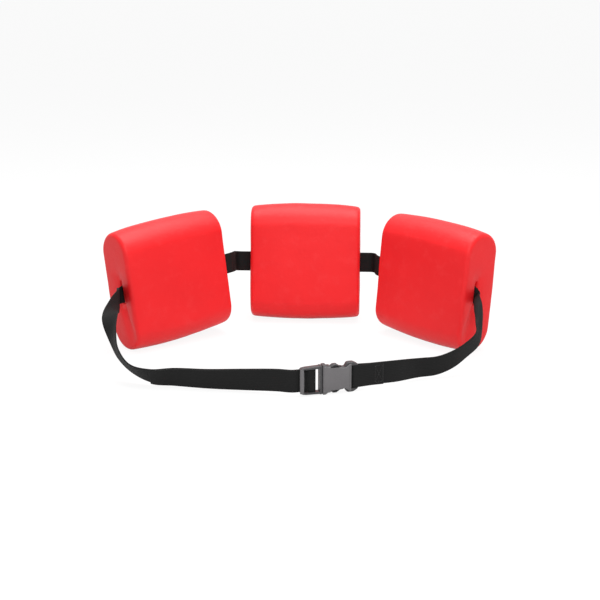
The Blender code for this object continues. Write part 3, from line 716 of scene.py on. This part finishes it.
def slopes(stations):
    """How fast the place and the edge change along the strap, at each station."""
    rates = []
    for (spot, edge), (next_spot, next_edge) in zip(stations, stations[1:]):
        length = (next_spot - spot).length
        rates.append((length, (next_spot - spot) / length, (next_edge - edge) / length))
    rates = [rates[0]] + rates + [rates[-1]]
    found = []
    for (length, *before), (next_length, *after) in zip(rates, rates[1:]):
        share = length / (length + next_length)
        found.append([a.lerp(b, share) for a, b in zip(before, after)])
    return found


def between(start, end, slope_in, slope_out, t):
    """A point of the cubic curve from one value to another, t of the way."""
    way = end - start
    early = (slope_in - way) * t * (1 - t) ** 2
    late = (slope_out - way) * t * t * (1 - t)
    return start + way * t + early - late


def route(stations):
    """A smooth run through the stations."""
    run = []
    slope = slopes(stations)
    for start, end, slope_in, slope_out in zip(stations, stations[1:], slope, slope[1:]):
        length = (end[0] - start[0]).length
        for step in range(STEPS):
            ends = zip(start, end, slope_in, slope_out)
            t = step / STEPS
            run.append(tuple(between(a, b, i * length, o * length, t) for a, b, i, o in ends))
    return run + [stations[-1]]


def hang(start, before, end, after):
    """The free strap between two floats, which leaves each of them straight."""
    leave = (start[0] - before[0]).normalized()
    meet = (after[0] - end[0]).normalized()
    first = start[0] + leave * (THICKNESS + GAP)
    last = end[0] - meet * (THICKNESS + GAP)
    reach = (last - first).length
    run = []
    for step in range(2 * STEPS + 1):
        t = step / (2 * STEPS)
        spot = first * (1 + 2 * t) * (1 - t) ** 2 + last * t * t * (3 - 2 * t)
        spot += (leave * (1 - t) - meet * t) * reach * t * (1 - t)
        run.append((spot, start[1].lerp(end[1], t)))
    return run


def length_of(run):
    return sum((b[0] - a[0]).length for a, b in zip(run, run[1:]))


fall = route([station(*row) for row in LEFT_ARM])
print("left fall and front:", round(length_of(fall), 3), "m in", len(fall), "points")

# %% [markdown]
# At the buckle the strap is followed in the buckle's own frame: x along the belt from the
# mouth of the socket, y across it and z to the front. On the left it passes behind the
# crossbar of the plug, over it, and back behind the outer bar as a loose tail. On the right it
# goes round the socket's end bar and is sewn to itself. Both are drawn as lines and arcs in
# the plane of x and z, and then carried to the buckle's place.

# %% Strap: at the buckle
buckle_frame = Matrix.Translation((0.0229, -0.1625, 0.0168))
buckle_frame @= Matrix.Rotation(radians(17.9), 4, "Z") @ Matrix.Rotation(pi / 2, 4, "X")

LOAD_LAYER = -0.00325
TAIL_LAYER = -0.00145
ARM_LEADS = (-0.029, -0.024)
CROSSBAR_RIGHT = -0.0098
CROSSBAR_LEFT = -0.0116
CROSSBAR_HEIGHT = -0.0006
WRAP_RADIUS = 0.00265
WRAP_STEPS = 10
OUTER_BAR_RIGHT = -0.019
TAIL_START = -0.0243
LOOP_BEND = 0.0366
LOOP_RADIUS = 0.00305
LOOP_STEPS = 20
LOOP_MEET = 0.056
LOOP_END = 0.071
LOOP_LEADS = (0.010, 0.005)
SEWN_LAYER = 0.0009


def on_buckle(points):
    """Stations at the buckle, with the band's edge across the belt."""
    down = buckle_frame.to_3x3() @ Vector((0, -1, 0))
    return [(buckle_frame @ Vector((x, 0, z)), down.copy()) for x, z in points]


def arc(x, z, radius, start, end, steps):
    angles = [radians(start + (end - start) * step / steps) for step in range(steps + 1)]
    return [(x + radius * cos(angle), z + radius * sin(angle)) for angle in angles]


def crossbar_wrap():
    """Over the crossbar, and down behind the outer bar."""
    points = arc(CROSSBAR_RIGHT, CROSSBAR_HEIGHT, WRAP_RADIUS, -90, 90, WRAP_STEPS)
    top = CROSSBAR_HEIGHT + WRAP_RADIUS
    for step in range(1, WRAP_STEPS + 1):
        x = CROSSBAR_LEFT + (OUTER_BAR_RIGHT - CROSSBAR_LEFT) * step / WRAP_STEPS
        share = (1 - cos(pi * step / WRAP_STEPS)) / 2
        points.append((x, top + (TAIL_LAYER - top) * share))
    return points + [(TAIL_START, TAIL_LAYER)]


def socket_loop():
    """Along the belt, round the socket's end bar, and back to where it is sewn down."""
    points = [(LOOP_END + lead, -SEWN_LAYER) for lead in LOOP_LEADS] + [(LOOP_MEET, -SEWN_LAYER)]
    turn = 90 - atan2(LOOP_RADIUS - SEWN_LAYER, LOOP_MEET - LOOP_BEND) * 180 / pi
    points += arc(LOOP_BEND, 0, LOOP_RADIUS, -turn, turn - 360, LOOP_STEPS)
    return points + [(LOOP_MEET, SEWN_LAYER), (LOOP_END, SEWN_LAYER)]


wrap = on_buckle(crossbar_wrap())
loop = on_buckle(socket_loop())
print("over the crossbar", round(length_of(wrap) / MM), "mm")
print("round the end bar", round(length_of(loop) / MM), "mm")

# %% [markdown]
# The real strap is one piece. Here it is drawn as three: the left arm, the rest of the belt up to
# the sewn loop, and the tail with the turn over the crossbar. The first two meet inside the left
# float, where nobody sees the split.

# %% Strap: the runs
SPLIT_GAP = 0.5
SIDE_LEAD = 0.017
CENTRE_LEAD = 0.010

side_x = FLOAT_LENGTH / 2 + SIDE_LEAD
centre_x = FLOAT_LENGTH / 2 + CENTRE_LEAD
split_x = -FLOAT_LENGTH / 2 + (LEFT_EXIT[0][0] + SPLIT_GAP) * MM

left_exit = out_of_slot("left", -1, LEFT_EXIT)
arm_end = on_buckle([(x, LOAD_LAYER) for x in (*ARM_LEADS, CROSSBAR_RIGHT)])
left_arm = route(left_exit + [station(*row) for row in LEFT_ARM] + arm_end)

left_pair = [in_slot("left", split_x), in_slot("left", side_x)]
centre_pair = [in_slot("centre", -centre_x), in_slot("centre", centre_x)]
right_entry = in_slot("right", -side_x)
right_exit = out_of_slot("right", 1, RIGHT_EXIT)
belt_run = left_pair + hang(left_pair[1], left_pair[0], *centre_pair)
belt_run += centre_pair + hang(centre_pair[1], centre_pair[0], right_entry, right_exit[0])
belt_run.append(right_entry)
belt_run += route(right_exit + [station(*row) for row in RIGHT_ARM] + loop[:2]) + loop[2:]
print("left arm", round(length_of(left_arm), 3), "m, the rest", round(length_of(belt_run), 3), "m")

# %% [markdown]
# A grid is laid along a run like a ribbon: its rows are spaced evenly, each row stands at its
# station and lies along the edge direction, and where the band is bunched the row is narrower
# and cupped. The UV map is filled from the same rows. Solidify gives the ribbon its thickness
# and Bevel softens its edges. Solidify's even offset stays off, since it throws long spikes
# where the band folds sharply.

# %% Strap: laying a grid along a run
ROW_PITCH = 0.0015
ACROSS = 10
CURL_SHARE = 0.34
EDGE_ROUND = 0.0005


def evened(run, pitch):
    """The same run with its stations a steady distance apart."""
    total = length_of(run)
    count = max(2, round(total / pitch))
    even = [run[0]]
    along = 0.0
    for start, end in zip(run, run[1:]):
        length = (end[0] - start[0]).length
        while len(even) < count and along + length >= total * len(even) / count:
            t = (total * len(even) / count - along) / length
            even.append(tuple(a.lerp(b, t) for a, b in zip(start, end)))
        along += length
    return even + [run[-1]]


def framed(run):
    """The place, edge and face directions along a run, and the share of the width."""
    frames = []
    for i, (spot, edge) in enumerate(run):
        along = (run[min(i + 1, len(run) - 1)][0] - run[max(i - 1, 0)][0]).normalized()
        across = (edge - along * edge.dot(along)).normalized()
        frames.append((spot, across, along.cross(across), min(1.0, edge.length)))
    return frames


def lay_rows(piece, frames):
    """Move a grid's rows onto their stations, and fill its UV map in strap widths."""
    count = len(frames) - 1
    distances = [0.0]
    for (spot, *_), (following, *_) in zip(frames, frames[1:]):
        distances.append(distances[-1] + (following - spot).length)
    places = []
    for vertex in piece.data.vertices:
        i = round((vertex.co.x + 1) / 2 * count)
        share = vertex.co.y
        spot, across, face, width = frames[i]
        curl = CURL_SHARE * WIDTH / 2 * (1 - width ** 2) * (0.5 - share ** 2)
        vertex.co = spot + across * (WIDTH / 2 * width * share) + face * curl
        places.append((distances[i] / WIDTH, (share + 1) / 2))
    layer = piece.data.uv_layers[0]
    layer.name = "weave"
    for corner in piece.data.loops:
        layer.data[corner.index].uv = places[corner.vertex_index]
    return distances[-1]


def strap(name, run):
    """A length of webbing along a run."""
    frames = framed(evened(run, ROW_PITCH))
    bpy.ops.object.select_all(action="DESELECT")
    bpy.ops.mesh.primitive_grid_add(x_subdivisions=len(frames) - 1, y_subdivisions=ACROSS, size=2)
    piece = bpy.context.object
    piece.name = piece.data.name = name
    length = lay_rows(piece, frames)
    apply_modifier(piece, "SOLIDIFY", thickness=THICKNESS, offset=0, use_even_offset=False)
    apply_modifier(
        piece, "BEVEL", width=EDGE_ROUND, segments=2, limit_method="ANGLE", angle_limit=radians(60),
    )
    bpy.ops.object.shade_smooth()
    piece.data.materials.append(webbing)
    print(name, round(length, 3), "m,", len(piece.data.polygons), "faces")
    return piece


belt_strap = strap("strap_through_floats", belt_run)
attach(belt_strap, "belt")
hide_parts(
    "webbing_in_left_float", "webbing_left_gap", "webbing_in_centre_float",
    "webbing_right_gap", "webbing_in_right_float", "webbing_right_side", "webbing_right_front",
    "webbing_socket_loop",
)

# %% [markdown]
# The left arm crosses the joint that lets the plug leave the socket, where a rigid arm would tear
# off at one end. Its fall lies between two rows of its stations.

# %% Strap: left arm
FALL_TOP = 3
FALL_FOOT = 10

arm_strap = strap("strap_left_arm", left_arm)
fall_top = station(*LEFT_ARM[FALL_TOP])[0]
fall_foot = station(*LEFT_ARM[FALL_FOOT])[0]
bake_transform(arm_strap)
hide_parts("webbing_left_side", "webbing_left_front")
print("left arm bends over", round((fall_foot - fall_top).length / MM), "mm")

# %% [markdown]
# The tail is what is left over when the belt is drawn tight. It lies on the left arm, so its run
# is the arm's own, lifted off by one thickness and a small gap and followed backwards.

# %% Strap: tail
TAIL_LENGTH = 0.165
TAIL_PITCH = 0.001


def cut_run(run, start, end):
    """The stations of a run between two distances along it."""
    fine = evened(run, TAIL_PITCH)
    total = length_of(fine)
    share = len(fine) - 1
    return fine[round(start / total * share):round(end / total * share) + 1]


tail_far = length_of(left_arm) - (CROSSBAR_RIGHT - TAIL_START + GAP)
under_tail = framed(cut_run(left_arm, tail_far - TAIL_LENGTH, tail_far))
tail_run = [(spot - face * (THICKNESS + GAP), across)
            for spot, across, face, _ in reversed(under_tail)]
tail_strap = strap("strap_tail", wrap + tail_run[1:])
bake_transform(tail_strap)
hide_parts("webbing_over_crossbar", "webbing_tail")

# %% [markdown]
# The sewn loop is held by a crossed box of stitches, and one more seam near its raw end. Stitches
# can be painted on as a bump, but these are thick enough to catch the light, so they are made.
# One stitch is a short bead of thread, modelled once and copied along each seam, and then all of
# them are joined into one piece.

# %% Stitches
STITCH = 0.0022
STITCH_PITCH = 1.25
STITCH_RADIUS = 0.00030
STITCH_FLATTEN = 0.8
BOX_LEFT = 0.0610
BOX_RIGHT = 0.0695
BOX_HALF_HEIGHT = 0.0095
END_SEAM_INSET = 0.0006
END_SEAM_HALF_HEIGHT = 0.0112


def seam(start, end):
    """Where the stitches of a straight seam lie: their middles and direction."""
    way = Vector(end) - Vector(start)
    count = max(2, round(way.length / (STITCH * STITCH_PITCH)))
    return [(Vector(start) + way * ((i + 0.5) / count), way.normalized()) for i in range(count)]


def stitch_places():
    """The sides of the box, its two diagonals and the end seam."""
    tall = BOX_HALF_HEIGHT
    corners = ((BOX_LEFT, tall), (BOX_RIGHT, tall), (BOX_RIGHT, -tall), (BOX_LEFT, -tall))
    seams = [seam(a, b) for a, b in zip(corners, corners[1:] + corners[:1])]
    seams += [seam(corners[0], corners[2]), seam(corners[1], corners[3])]
    end_x = LOOP_END - END_SEAM_INSET
    seams.append(seam((end_x, -END_SEAM_HALF_HEIGHT), (end_x, END_SEAM_HALF_HEIGHT)))
    return [place for line in seams for place in line]


def stitches():
    bpy.ops.object.select_all(action="DESELECT")
    bpy.ops.mesh.primitive_uv_sphere_add(segments=8, ring_count=6, radius=STITCH_RADIUS)
    bead = bpy.context.object
    bead.select_set(False)
    bead.data.transform(Matrix.Diagonal((STITCH / 2 / STITCH_RADIUS, 1, STITCH_FLATTEN, 1)))
    front = SEWN_LAYER + THICKNESS / 2
    made = []
    for middle, way in stitch_places():
        turn = Matrix.Rotation(atan2(way.y, way.x), 4, "Z")
        made.append(copy_of(bead))
        made[-1].data.transform(buckle_frame @ Matrix.Translation((*middle, front)) @ turn)
        made[-1].select_set(True)
    bpy.data.objects.remove(bead)
    bpy.context.view_layer.objects.active = made[0]
    bpy.ops.object.join()
    print("stitches:", len(made))
    return bpy.context.object


sewn = stitches()
sewn.name = sewn.data.name = "loop_stitches"
bpy.ops.object.shade_smooth()
sewn.data.materials.append(thread)
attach(sewn, "belt")
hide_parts("loop_stitching")

# %% [markdown]
# The buckle is moulded in a few flat layers. Each layer starts as a circle whose corners are
# moved onto an outline in millimetres, and is then extruded and bevelled. An outline is read
# like a drawing: each corner has its place and the radius that rounds it, and since the buckle
# is alike above and below, only the upper half is written down.

# %% Buckle: outlines and layers
CORNER_STEPS = 5


def soft_outline(corners):
    """An outline whose corners, given as x, y and radius, are arcs."""
    outline = []
    for i, (x, y, radius) in enumerate(corners):
        corner = Vector((x, y))
        if not radius:
            outline.append(corner)
            continue
        before = (Vector(corners[i - 1][:2]) - corner).normalized()
        after = (Vector(corners[(i + 1) % len(corners)][:2]) - corner).normalized()
        half_angle = before.angle(after) / 2
        middle = corner + (before + after).normalized() * radius / sin(half_angle)
        start = corner + before * radius * cos(half_angle) / sin(half_angle) - middle
        end = corner + after * radius * cos(half_angle) / sin(half_angle) - middle
        turn = start.angle_signed(end)
        for step in range(CORNER_STEPS + 1):
            outline.append(middle + Matrix.Rotation(-turn * step / CORNER_STEPS, 2) @ start)
    return outline


def both_halves(corners):
    """Close an upper half, drawn from left to right, with its mirror image."""
    return corners + [(x, -y, radius) for x, y, radius in reversed(corners)]


def moulding(name, corners, back, front, edge, segments=3):
    """One layer: its outline, its two faces and the round of its edges, in millimetres."""
    outline = soft_outline(corners)
    bpy.ops.object.select_all(action="DESELECT")
    bpy.ops.mesh.primitive_circle_add(vertices=len(outline), radius=1, fill_type="NGON")
    piece = bpy.context.object
    piece.name = piece.data.name = name
    for vertex, (x, y) in zip(piece.data.vertices, outline):
        vertex.co = (x * MM, y * MM, back * MM)
    bpy.ops.object.mode_set(mode="EDIT")
    bpy.ops.mesh.select_all(action="SELECT")
    rise = (0, 0, (front - back) * MM)
    bpy.ops.mesh.extrude_region_move(TRANSFORM_OT_translate={"value": rise})
    bpy.ops.mesh.select_all(action="SELECT")
    bpy.ops.mesh.normals_make_consistent(inside=False)
    bpy.ops.object.mode_set(mode="OBJECT")
    if edge:
        apply_modifier(piece, "BEVEL", width=edge * MM, segments=segments,
                       limit_method="ANGLE", angle_limit=radians(50))
    return piece


print("an outline of one round corner has", CORNER_STEPS + 1, "points")

# %% [markdown]
# Layers are joined, and windows are cut out of them, with Booleans. On soft shapes they leave
# creases, but they suit hard plastic with crisp openings. A cutter reaches well past the piece,
# so that no thin skin is left over. The bars that the webbing turns round are real rounds, as
# webbing would wear through on an edge.

# %% Buckle: cutters, bars and joining
BAR_SIDES = 28
BAR_CUTS = 8


def block(low, high):
    """A plain cutter between two corners in millimetres."""
    (left, bottom, back), (right, top, front) = low, high
    corners = [(left, bottom, 0), (left, top, 0), (right, top, 0), (right, bottom, 0)]
    return moulding("cutter", corners, back, front, 0)


def combine(piece, operation, *others):
    """Join other layers on, or cut them away."""
    for other in others:
        apply_modifier(piece, "BOOLEAN", operation=operation, solver="EXACT", object=other)
        bpy.data.objects.remove(other)
    return piece


def cross_bar(x, z, half_x, half_z, half_length, bulge=0.0):
    """A rounded bar across the belt, fuller in its middle by a share of its size."""
    bpy.ops.object.select_all(action="DESELECT")
    bpy.ops.mesh.primitive_cylinder_add(
        vertices=BAR_SIDES, radius=MM, depth=2 * half_length * MM, rotation=(pi / 2, 0, 0),
    )
    piece = bpy.context.object
    bpy.ops.object.transform_apply(location=True, rotation=True, scale=True)
    bpy.ops.object.mode_set(mode="EDIT")
    pick(piece, "edges", longer_than(half_length * MM, Y))
    bpy.ops.mesh.subdivide(number_cuts=BAR_CUTS)
    bpy.ops.object.mode_set(mode="OBJECT")
    for vertex in piece.data.vertices:
        share = vertex.co.y / (half_length * MM)
        fuller = 1 + bulge * (1 - share ** 2)
        vertex.co.x = x * MM + vertex.co.x * half_x * fuller
        vertex.co.z = z * MM + vertex.co.z * half_z * fuller
    return piece


print("a bar is a round of", BAR_SIDES, "sides, cut", BAR_CUTS, "times along")

# %% [markdown]
# A finished moulding gets both plastics: the darker one, with painted shade, everywhere, and the
# lighter one, with painted light, on the faces that a test picks by their place, in millimetres in
# the buckle's frame. Smoothing by angle keeps the windows crisp and the rounds round. Only then is
# the piece carried to the buckle's place.

# %% Buckle: finishing a piece
def finish_plastic(piece, name, body, node, painted_light_faces=lambda spot: False):
    """Give a moulded piece its finish and its place, and let it stand for its CAD node."""
    bpy.ops.object.select_all(action="DESELECT")
    piece.select_set(True)
    bpy.context.view_layer.objects.active = piece
    piece.name = piece.data.name = name
    bpy.ops.object.shade_smooth_by_angle(angle=radians(38))
    piece.data.materials.clear()
    piece.data.materials.append(plastic)
    piece.data.materials.append(painted_light_plastic)
    # Faces that the test picks get the painted light; the rest keep the painted shade.
    for face in piece.data.polygons:
        face.material_index = int(painted_light_faces(face.center / MM))
    lay(piece, buckle_frame)
    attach(piece, body)
    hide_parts(node)
    print(name, len(piece.data.polygons), "faces")


print("plastics:", plastic.name, painted_light_plastic.name)

# %% [markdown]
# The socket has a collar at its mouth, notches for the prongs' shoulders, a waist, two round
# ears and a bar for the sewn loop. A cover plate stands a little proud on both faces, and a
# low ridge closes it off beside the loop. Inside is the cavity that the plug slides into. The
# little round dimple is where the plastic was let into the mould.

# %% Buckle: socket
SOCKET_FACE = 4.5
EAR_FACE = 3.5
COVER_FACE = 5.1
RIDGE_FACE = 5.5
NOTCH_LEFT = 9.2
NOTCH_RIGHT = 21.4
CAVITY_HALF_HEIGHT = 12.6
CAVITY_FACE = 3.4
CAVITY_END = 21.6
WINDOW_LEFT = 32.5
WINDOW_HALF_HEIGHT = 12.9
OVERCUT = 8
# Along the cover's faces, between these places in x, the plastic gets painted light.
PAINTED_LIGHT_COVER = (1.0, 32.6)


def socket_layers():
    body = moulding("socket", both_halves([
        (0, 16.6, 1.4), (4.0, 16.6, 1.6), (5.9, 14.8, 1.6), (9.6, 14.6, 1.3),
        (10.4, 12.6, 0.6), (22.4, 12.5, 3.0), (25.0, 11.6, 3.0), (33.4, 12.0, 0),
    ]), -SOCKET_FACE, SOCKET_FACE, 0.9)
    ears = moulding("ears", both_halves([
        (23.0, 10.4, 0), (25.6, 12.0, 1.8), (28.2, 16.9, 3.6),
        (35.4, 16.9, 6.0), (40.9, 13.8, 2.2), (41.0, 10.0, 0),
    ]), -EAR_FACE, EAR_FACE, 1.4, 4)
    cover = both_halves([
        (1.1, 15.4, 1.8), (4.4, 14.4, 3.0), (9.4, 13.4, 6.0), (20.2, 12.5, 6.0),
        (25.2, 11.0, 5.0), (28.6, 13.6, 5.0), (31.0, 16.0, 0.8),
    ])
    ridge = both_halves([(30.6, 15.2, 0.6), (32.3, 15.6, 0.6)])
    front = moulding("front_cover", cover, EAR_FACE, COVER_FACE, 0.7, 4)
    back = moulding("back_cover", cover, -COVER_FACE, -EAR_FACE, 0.7, 4)
    front_ridge = moulding("front_ridge", ridge, EAR_FACE, RIDGE_FACE, 0.5)
    back_ridge = moulding("back_ridge", ridge, -RIDGE_FACE, -EAR_FACE, 0.5)
    return combine(body, "UNION", ears, front, back, front_ridge, back_ridge)


def make_socket():
    tall = CAVITY_HALF_HEIGHT
    wall_inside = tall - 0.3
    gate = [(5.0, -10.4, 0.8), (6.8, -10.4, 0.8), (6.8, -12.2, 0.8), (5.0, -12.2, 0.8)]
    socket = combine(
        socket_layers(), "DIFFERENCE",
        block((-2, -tall, -CAVITY_FACE), (CAVITY_END, tall, CAVITY_FACE)),
        block((NOTCH_LEFT, wall_inside, -OVERCUT), (NOTCH_RIGHT, 20, OVERCUT)),
        block((NOTCH_LEFT, -20, -OVERCUT), (NOTCH_RIGHT, -wall_inside, OVERCUT)),
        block((WINDOW_LEFT, -WINDOW_HALF_HEIGHT, -OVERCUT), (45, WINDOW_HALF_HEIGHT, OVERCUT)),
        moulding("gate_mark", gate, 4.9, 6, 0),
    )
    end_bar = cross_bar(x=37.7, z=0, half_x=2.9, half_z=2.0, half_length=14.0)
    return combine(socket, "UNION", end_bar)


def on_cover(spot):
    return abs(spot.z) > SOCKET_FACE - 0.05 and PAINTED_LIGHT_COVER[0] < spot.x < PAINTED_LIGHT_COVER[1]


finish_plastic(make_socket(), "moulded_socket", "belt", "buckle_socket", on_cover)

# %% [markdown]
# The plug is a frame with an outer bar, a crossbar that the strap goes round, a flange that
# meets the socket, and a tongue with a rib that guides it in. The outer bar is full and round,
# and fullest in its middle, because the tail slides behind it. Its front face gets the lighter
# plastic, a painted highlight.

# %% Buckle: plug
# Left of this place and in front of the next, the outer bar's face gets painted light.
PAINTED_LIGHT_BAR_RIGHT = -19.2
PAINTED_LIGHT_BAR_BACK = -0.5
BAR_HALF_OPENING = 13.3


def make_plug():
    body = moulding("plug", both_halves([
        (-24.5, 14.0, 3.4), (-18.0, 14.9, 9.0), (-3.0, 15.4, 0),
        (-2.6, 15.9, 0.9), (-0.3, 15.9, 0.9),
    ]), -3.9, 3.9, 0.7)
    tall = WINDOW_HALF_HEIGHT
    combine(
        body, "DIFFERENCE",
        block((-19.4, -tall, -OVERCUT), (-2.6, tall, OVERCUT)),
        block((-26, -tall, -OVERCUT), (-18, tall, -0.4)),
        block((-26, -BAR_HALF_OPENING, -1), (-18.9, BAR_HALF_OPENING, OVERCUT)),
    )
    tongue = moulding("tongue", both_halves([(-1.8, 2.2, 0), (19.0, 2.2, 1.9)]), -2.5, 2.5, 0.5)
    rib = moulding("rib", both_halves([(-1.8, 0.7, 0), (15.5, 0.7, 0.6)]), -2.9, 2.9, 0.3)
    outer_bar = cross_bar(x=-22.4, z=1.85, half_x=2.2, half_z=2.2, half_length=13.6, bulge=0.14)
    inner_bar = cross_bar(x=-10.7, z=-0.6, half_x=2.5, half_z=1.6, half_length=13.4)
    return combine(body, "UNION", tongue, rib, outer_bar, inner_bar)


def on_outer_bar(spot):
    on_front = spot.x < PAINTED_LIGHT_BAR_RIGHT and spot.z > PAINTED_LIGHT_BAR_BACK
    return on_front and abs(spot.y) < BAR_HALF_OPENING


finish_plastic(make_plug(), "moulded_plug", "plug", "buckle_plug", on_outer_bar)

# %% [markdown]
# Each prong is a springy arm that ends in a catch and a shoulder for the fingertip. The
# shoulder is thicker than the arm and hollowed on both faces, which leaves the arch that the
# photograph shows and keeps the plastic thin enough to cool evenly. Three low ridges give it
# grip. One prong is modelled, and the other is its mirror image, with its faces turned back.

# %% Buckle: prongs
RIDGE_PLACES = (12.6, 14.4, 16.2)
RIDGE_HALF_WIDTH = 0.35


def grip_ridge(x):
    left = x - RIDGE_HALF_WIDTH
    right = x + RIDGE_HALF_WIDTH
    corners = [(left, 14.8, 0.2), (left, 16.1, 0.3), (right, 16.1, 0.3), (right, 14.8, 0.2)]
    return moulding("ridge", corners, -2.4, 2.4, 0.2)


def make_prong():
    """The upper prong, above the buckle's middle."""
    arm = moulding("prong", [
        (0, 8.8, 1.2), (0, 11.4, 1.2), (10.0, 11.4, 1.0), (20.8, 12.2, 0.9), (21.2, 8.8, 1.2),
    ], -2.9, 2.9, 0.4)
    shoulder = moulding("shoulder", [
        (9.6, 10.8, 0), (9.6, 14.0, 1.1), (12.4, 15.9, 3.6),
        (16.2, 15.9, 4.4), (20.7, 13.0, 1.4), (20.7, 10.8, 0),
    ], -3.2, 3.2, 0.8, 4)
    hollow = [
        (11.0, 11.8, 0), (11.0, 13.0, 0.8), (13.0, 14.7, 2.6),
        (15.8, 14.7, 3.4), (19.2, 12.6, 0.8), (19.2, 11.8, 0),
    ]
    combine(arm, "UNION", shoulder)
    for back, front in ((1.3, 5), (-5, -1.3)):
        combine(arm, "DIFFERENCE", moulding("hollow", hollow, back, front, 0))
    return combine(arm, "UNION", *[grip_ridge(x) for x in RIDGE_PLACES])


upper_prong = make_prong()
lower_prong = copy_of(upper_prong)
lower_prong.data.transform(Matrix.Diagonal((1, -1, 1, 1)))
lower_prong.data.flip_normals()
finish_plastic(upper_prong, "moulded_prong_upper", "upper_prong", "buckle_prong_upper")
finish_plastic(lower_prong, "moulded_prong_lower", "lower_prong", "buckle_prong_lower")

# %% [markdown]
# The floor and the far wall are white in the photograph, with next to no shadow. A floor that
# only reflects the lamps never comes out as white as that, so what the camera sees of it is
# mostly plain white, with enough of the lit floor left in it to keep a soft shadow. What lights
# the belt is still the pale floor, which throws no more light up than a real one would.

# %% Floor
FLOOR_GREY = 0.60
FLOOR_WHITE = 1.12
LIT_SHARE = 0.2
FLOOR_SIZE = 40


def show_white(shader, white, share=1.0):
    """Let the camera see a share of plain white, straight or by a reflection, over the surface."""
    rays = [shader.node("LightPath", output=ray)
            for ray in ("Is Camera Ray", "Is Glossy Ray", "Is Transmission Ray")]
    seen = (rays[0] + rays[1] + rays[2]).math("MINIMUM", 1.0) * share
    lit = Socket(shader, shader.surface.outputs[0])
    shown = shader.node("MixShader", None, {0: seen, 1: lit, 2: white})
    shader.tree.links.new(shown.output, shader.output.inputs["Surface"])


def floor_finish():
    finish = Finish("pale_floor")
    finish.set(Base_Color=colour4(grey(FLOOR_GREY)), Roughness=0.9, Specular_IOR_Level=0.1)
    white = finish.node("Emission", None, {"Color": WHITE, "Strength": FLOOR_WHITE})
    show_white(finish, white, 1 - LIT_SHARE)
    return finish.material


bpy.ops.mesh.primitive_plane_add(size=FLOOR_SIZE)
floor = bpy.context.object
floor.name = "floor"
floor.data.materials.append(floor_finish())
print("floor:", FLOOR_SIZE, "m wide")

# %% [markdown]
# The world stands for the walls of the light tent. It lights the belt softly from all round. A
# world that is bright enough to look white would wash the red out, so here too the camera sees
# plain white, and the belt gets a weaker light.

# %% World
WALL_LIGHT = 0.42

world = bpy.data.worlds.new("studio")
scene.world = world
world.use_nodes = True
studio = Shader(world.node_tree, "Background", "World Output")
studio.set(Color=WHITE, Strength=WALL_LIGHT)
show_white(studio, studio.node("Background", None, {"Color": WHITE, "Strength": 1.0}))
print("world:", world.name)

# %% [markdown]
# Two large soft lamps do the rest: one above, which gives the pale band along the tops of the
# floats, and a weaker one from the front right. A point lamp would throw hard shadows that the
# photograph doesn't have. Each lamp has its place, its width and height, and its watts.

# %% Lamps
LAMP_TARGET = (0, 0, 0.05)
LAMPS = {
    "top_light": ((0.1, 0.1, 1.5), (1.5, 1.1), 26),
    "front_light": ((0.15, -1.5, 1.1), (0.8, 0.8), 12),
}

for name, (place, size, watts) in LAMPS.items():
    bpy.ops.object.light_add(type="AREA", location=place)
    light = bpy.context.object
    light.name = name
    light.data.shape = "RECTANGLE"
    light.data.size, light.data.size_y = size
    light.data.energy = watts
    towards = (Vector(place) - Vector(LAMP_TARGET)).to_track_quat("Z", "Y")
    light.rotation_euler = towards.to_euler()
print("lamps:", sorted(LAMPS))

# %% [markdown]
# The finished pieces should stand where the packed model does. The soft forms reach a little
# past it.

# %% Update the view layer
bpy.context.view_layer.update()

# %% [markdown]
# Every solid of the model now has a finished piece that stands for it.

# %% Finish
bpy.ops.object.select_all(action="DESELECT")
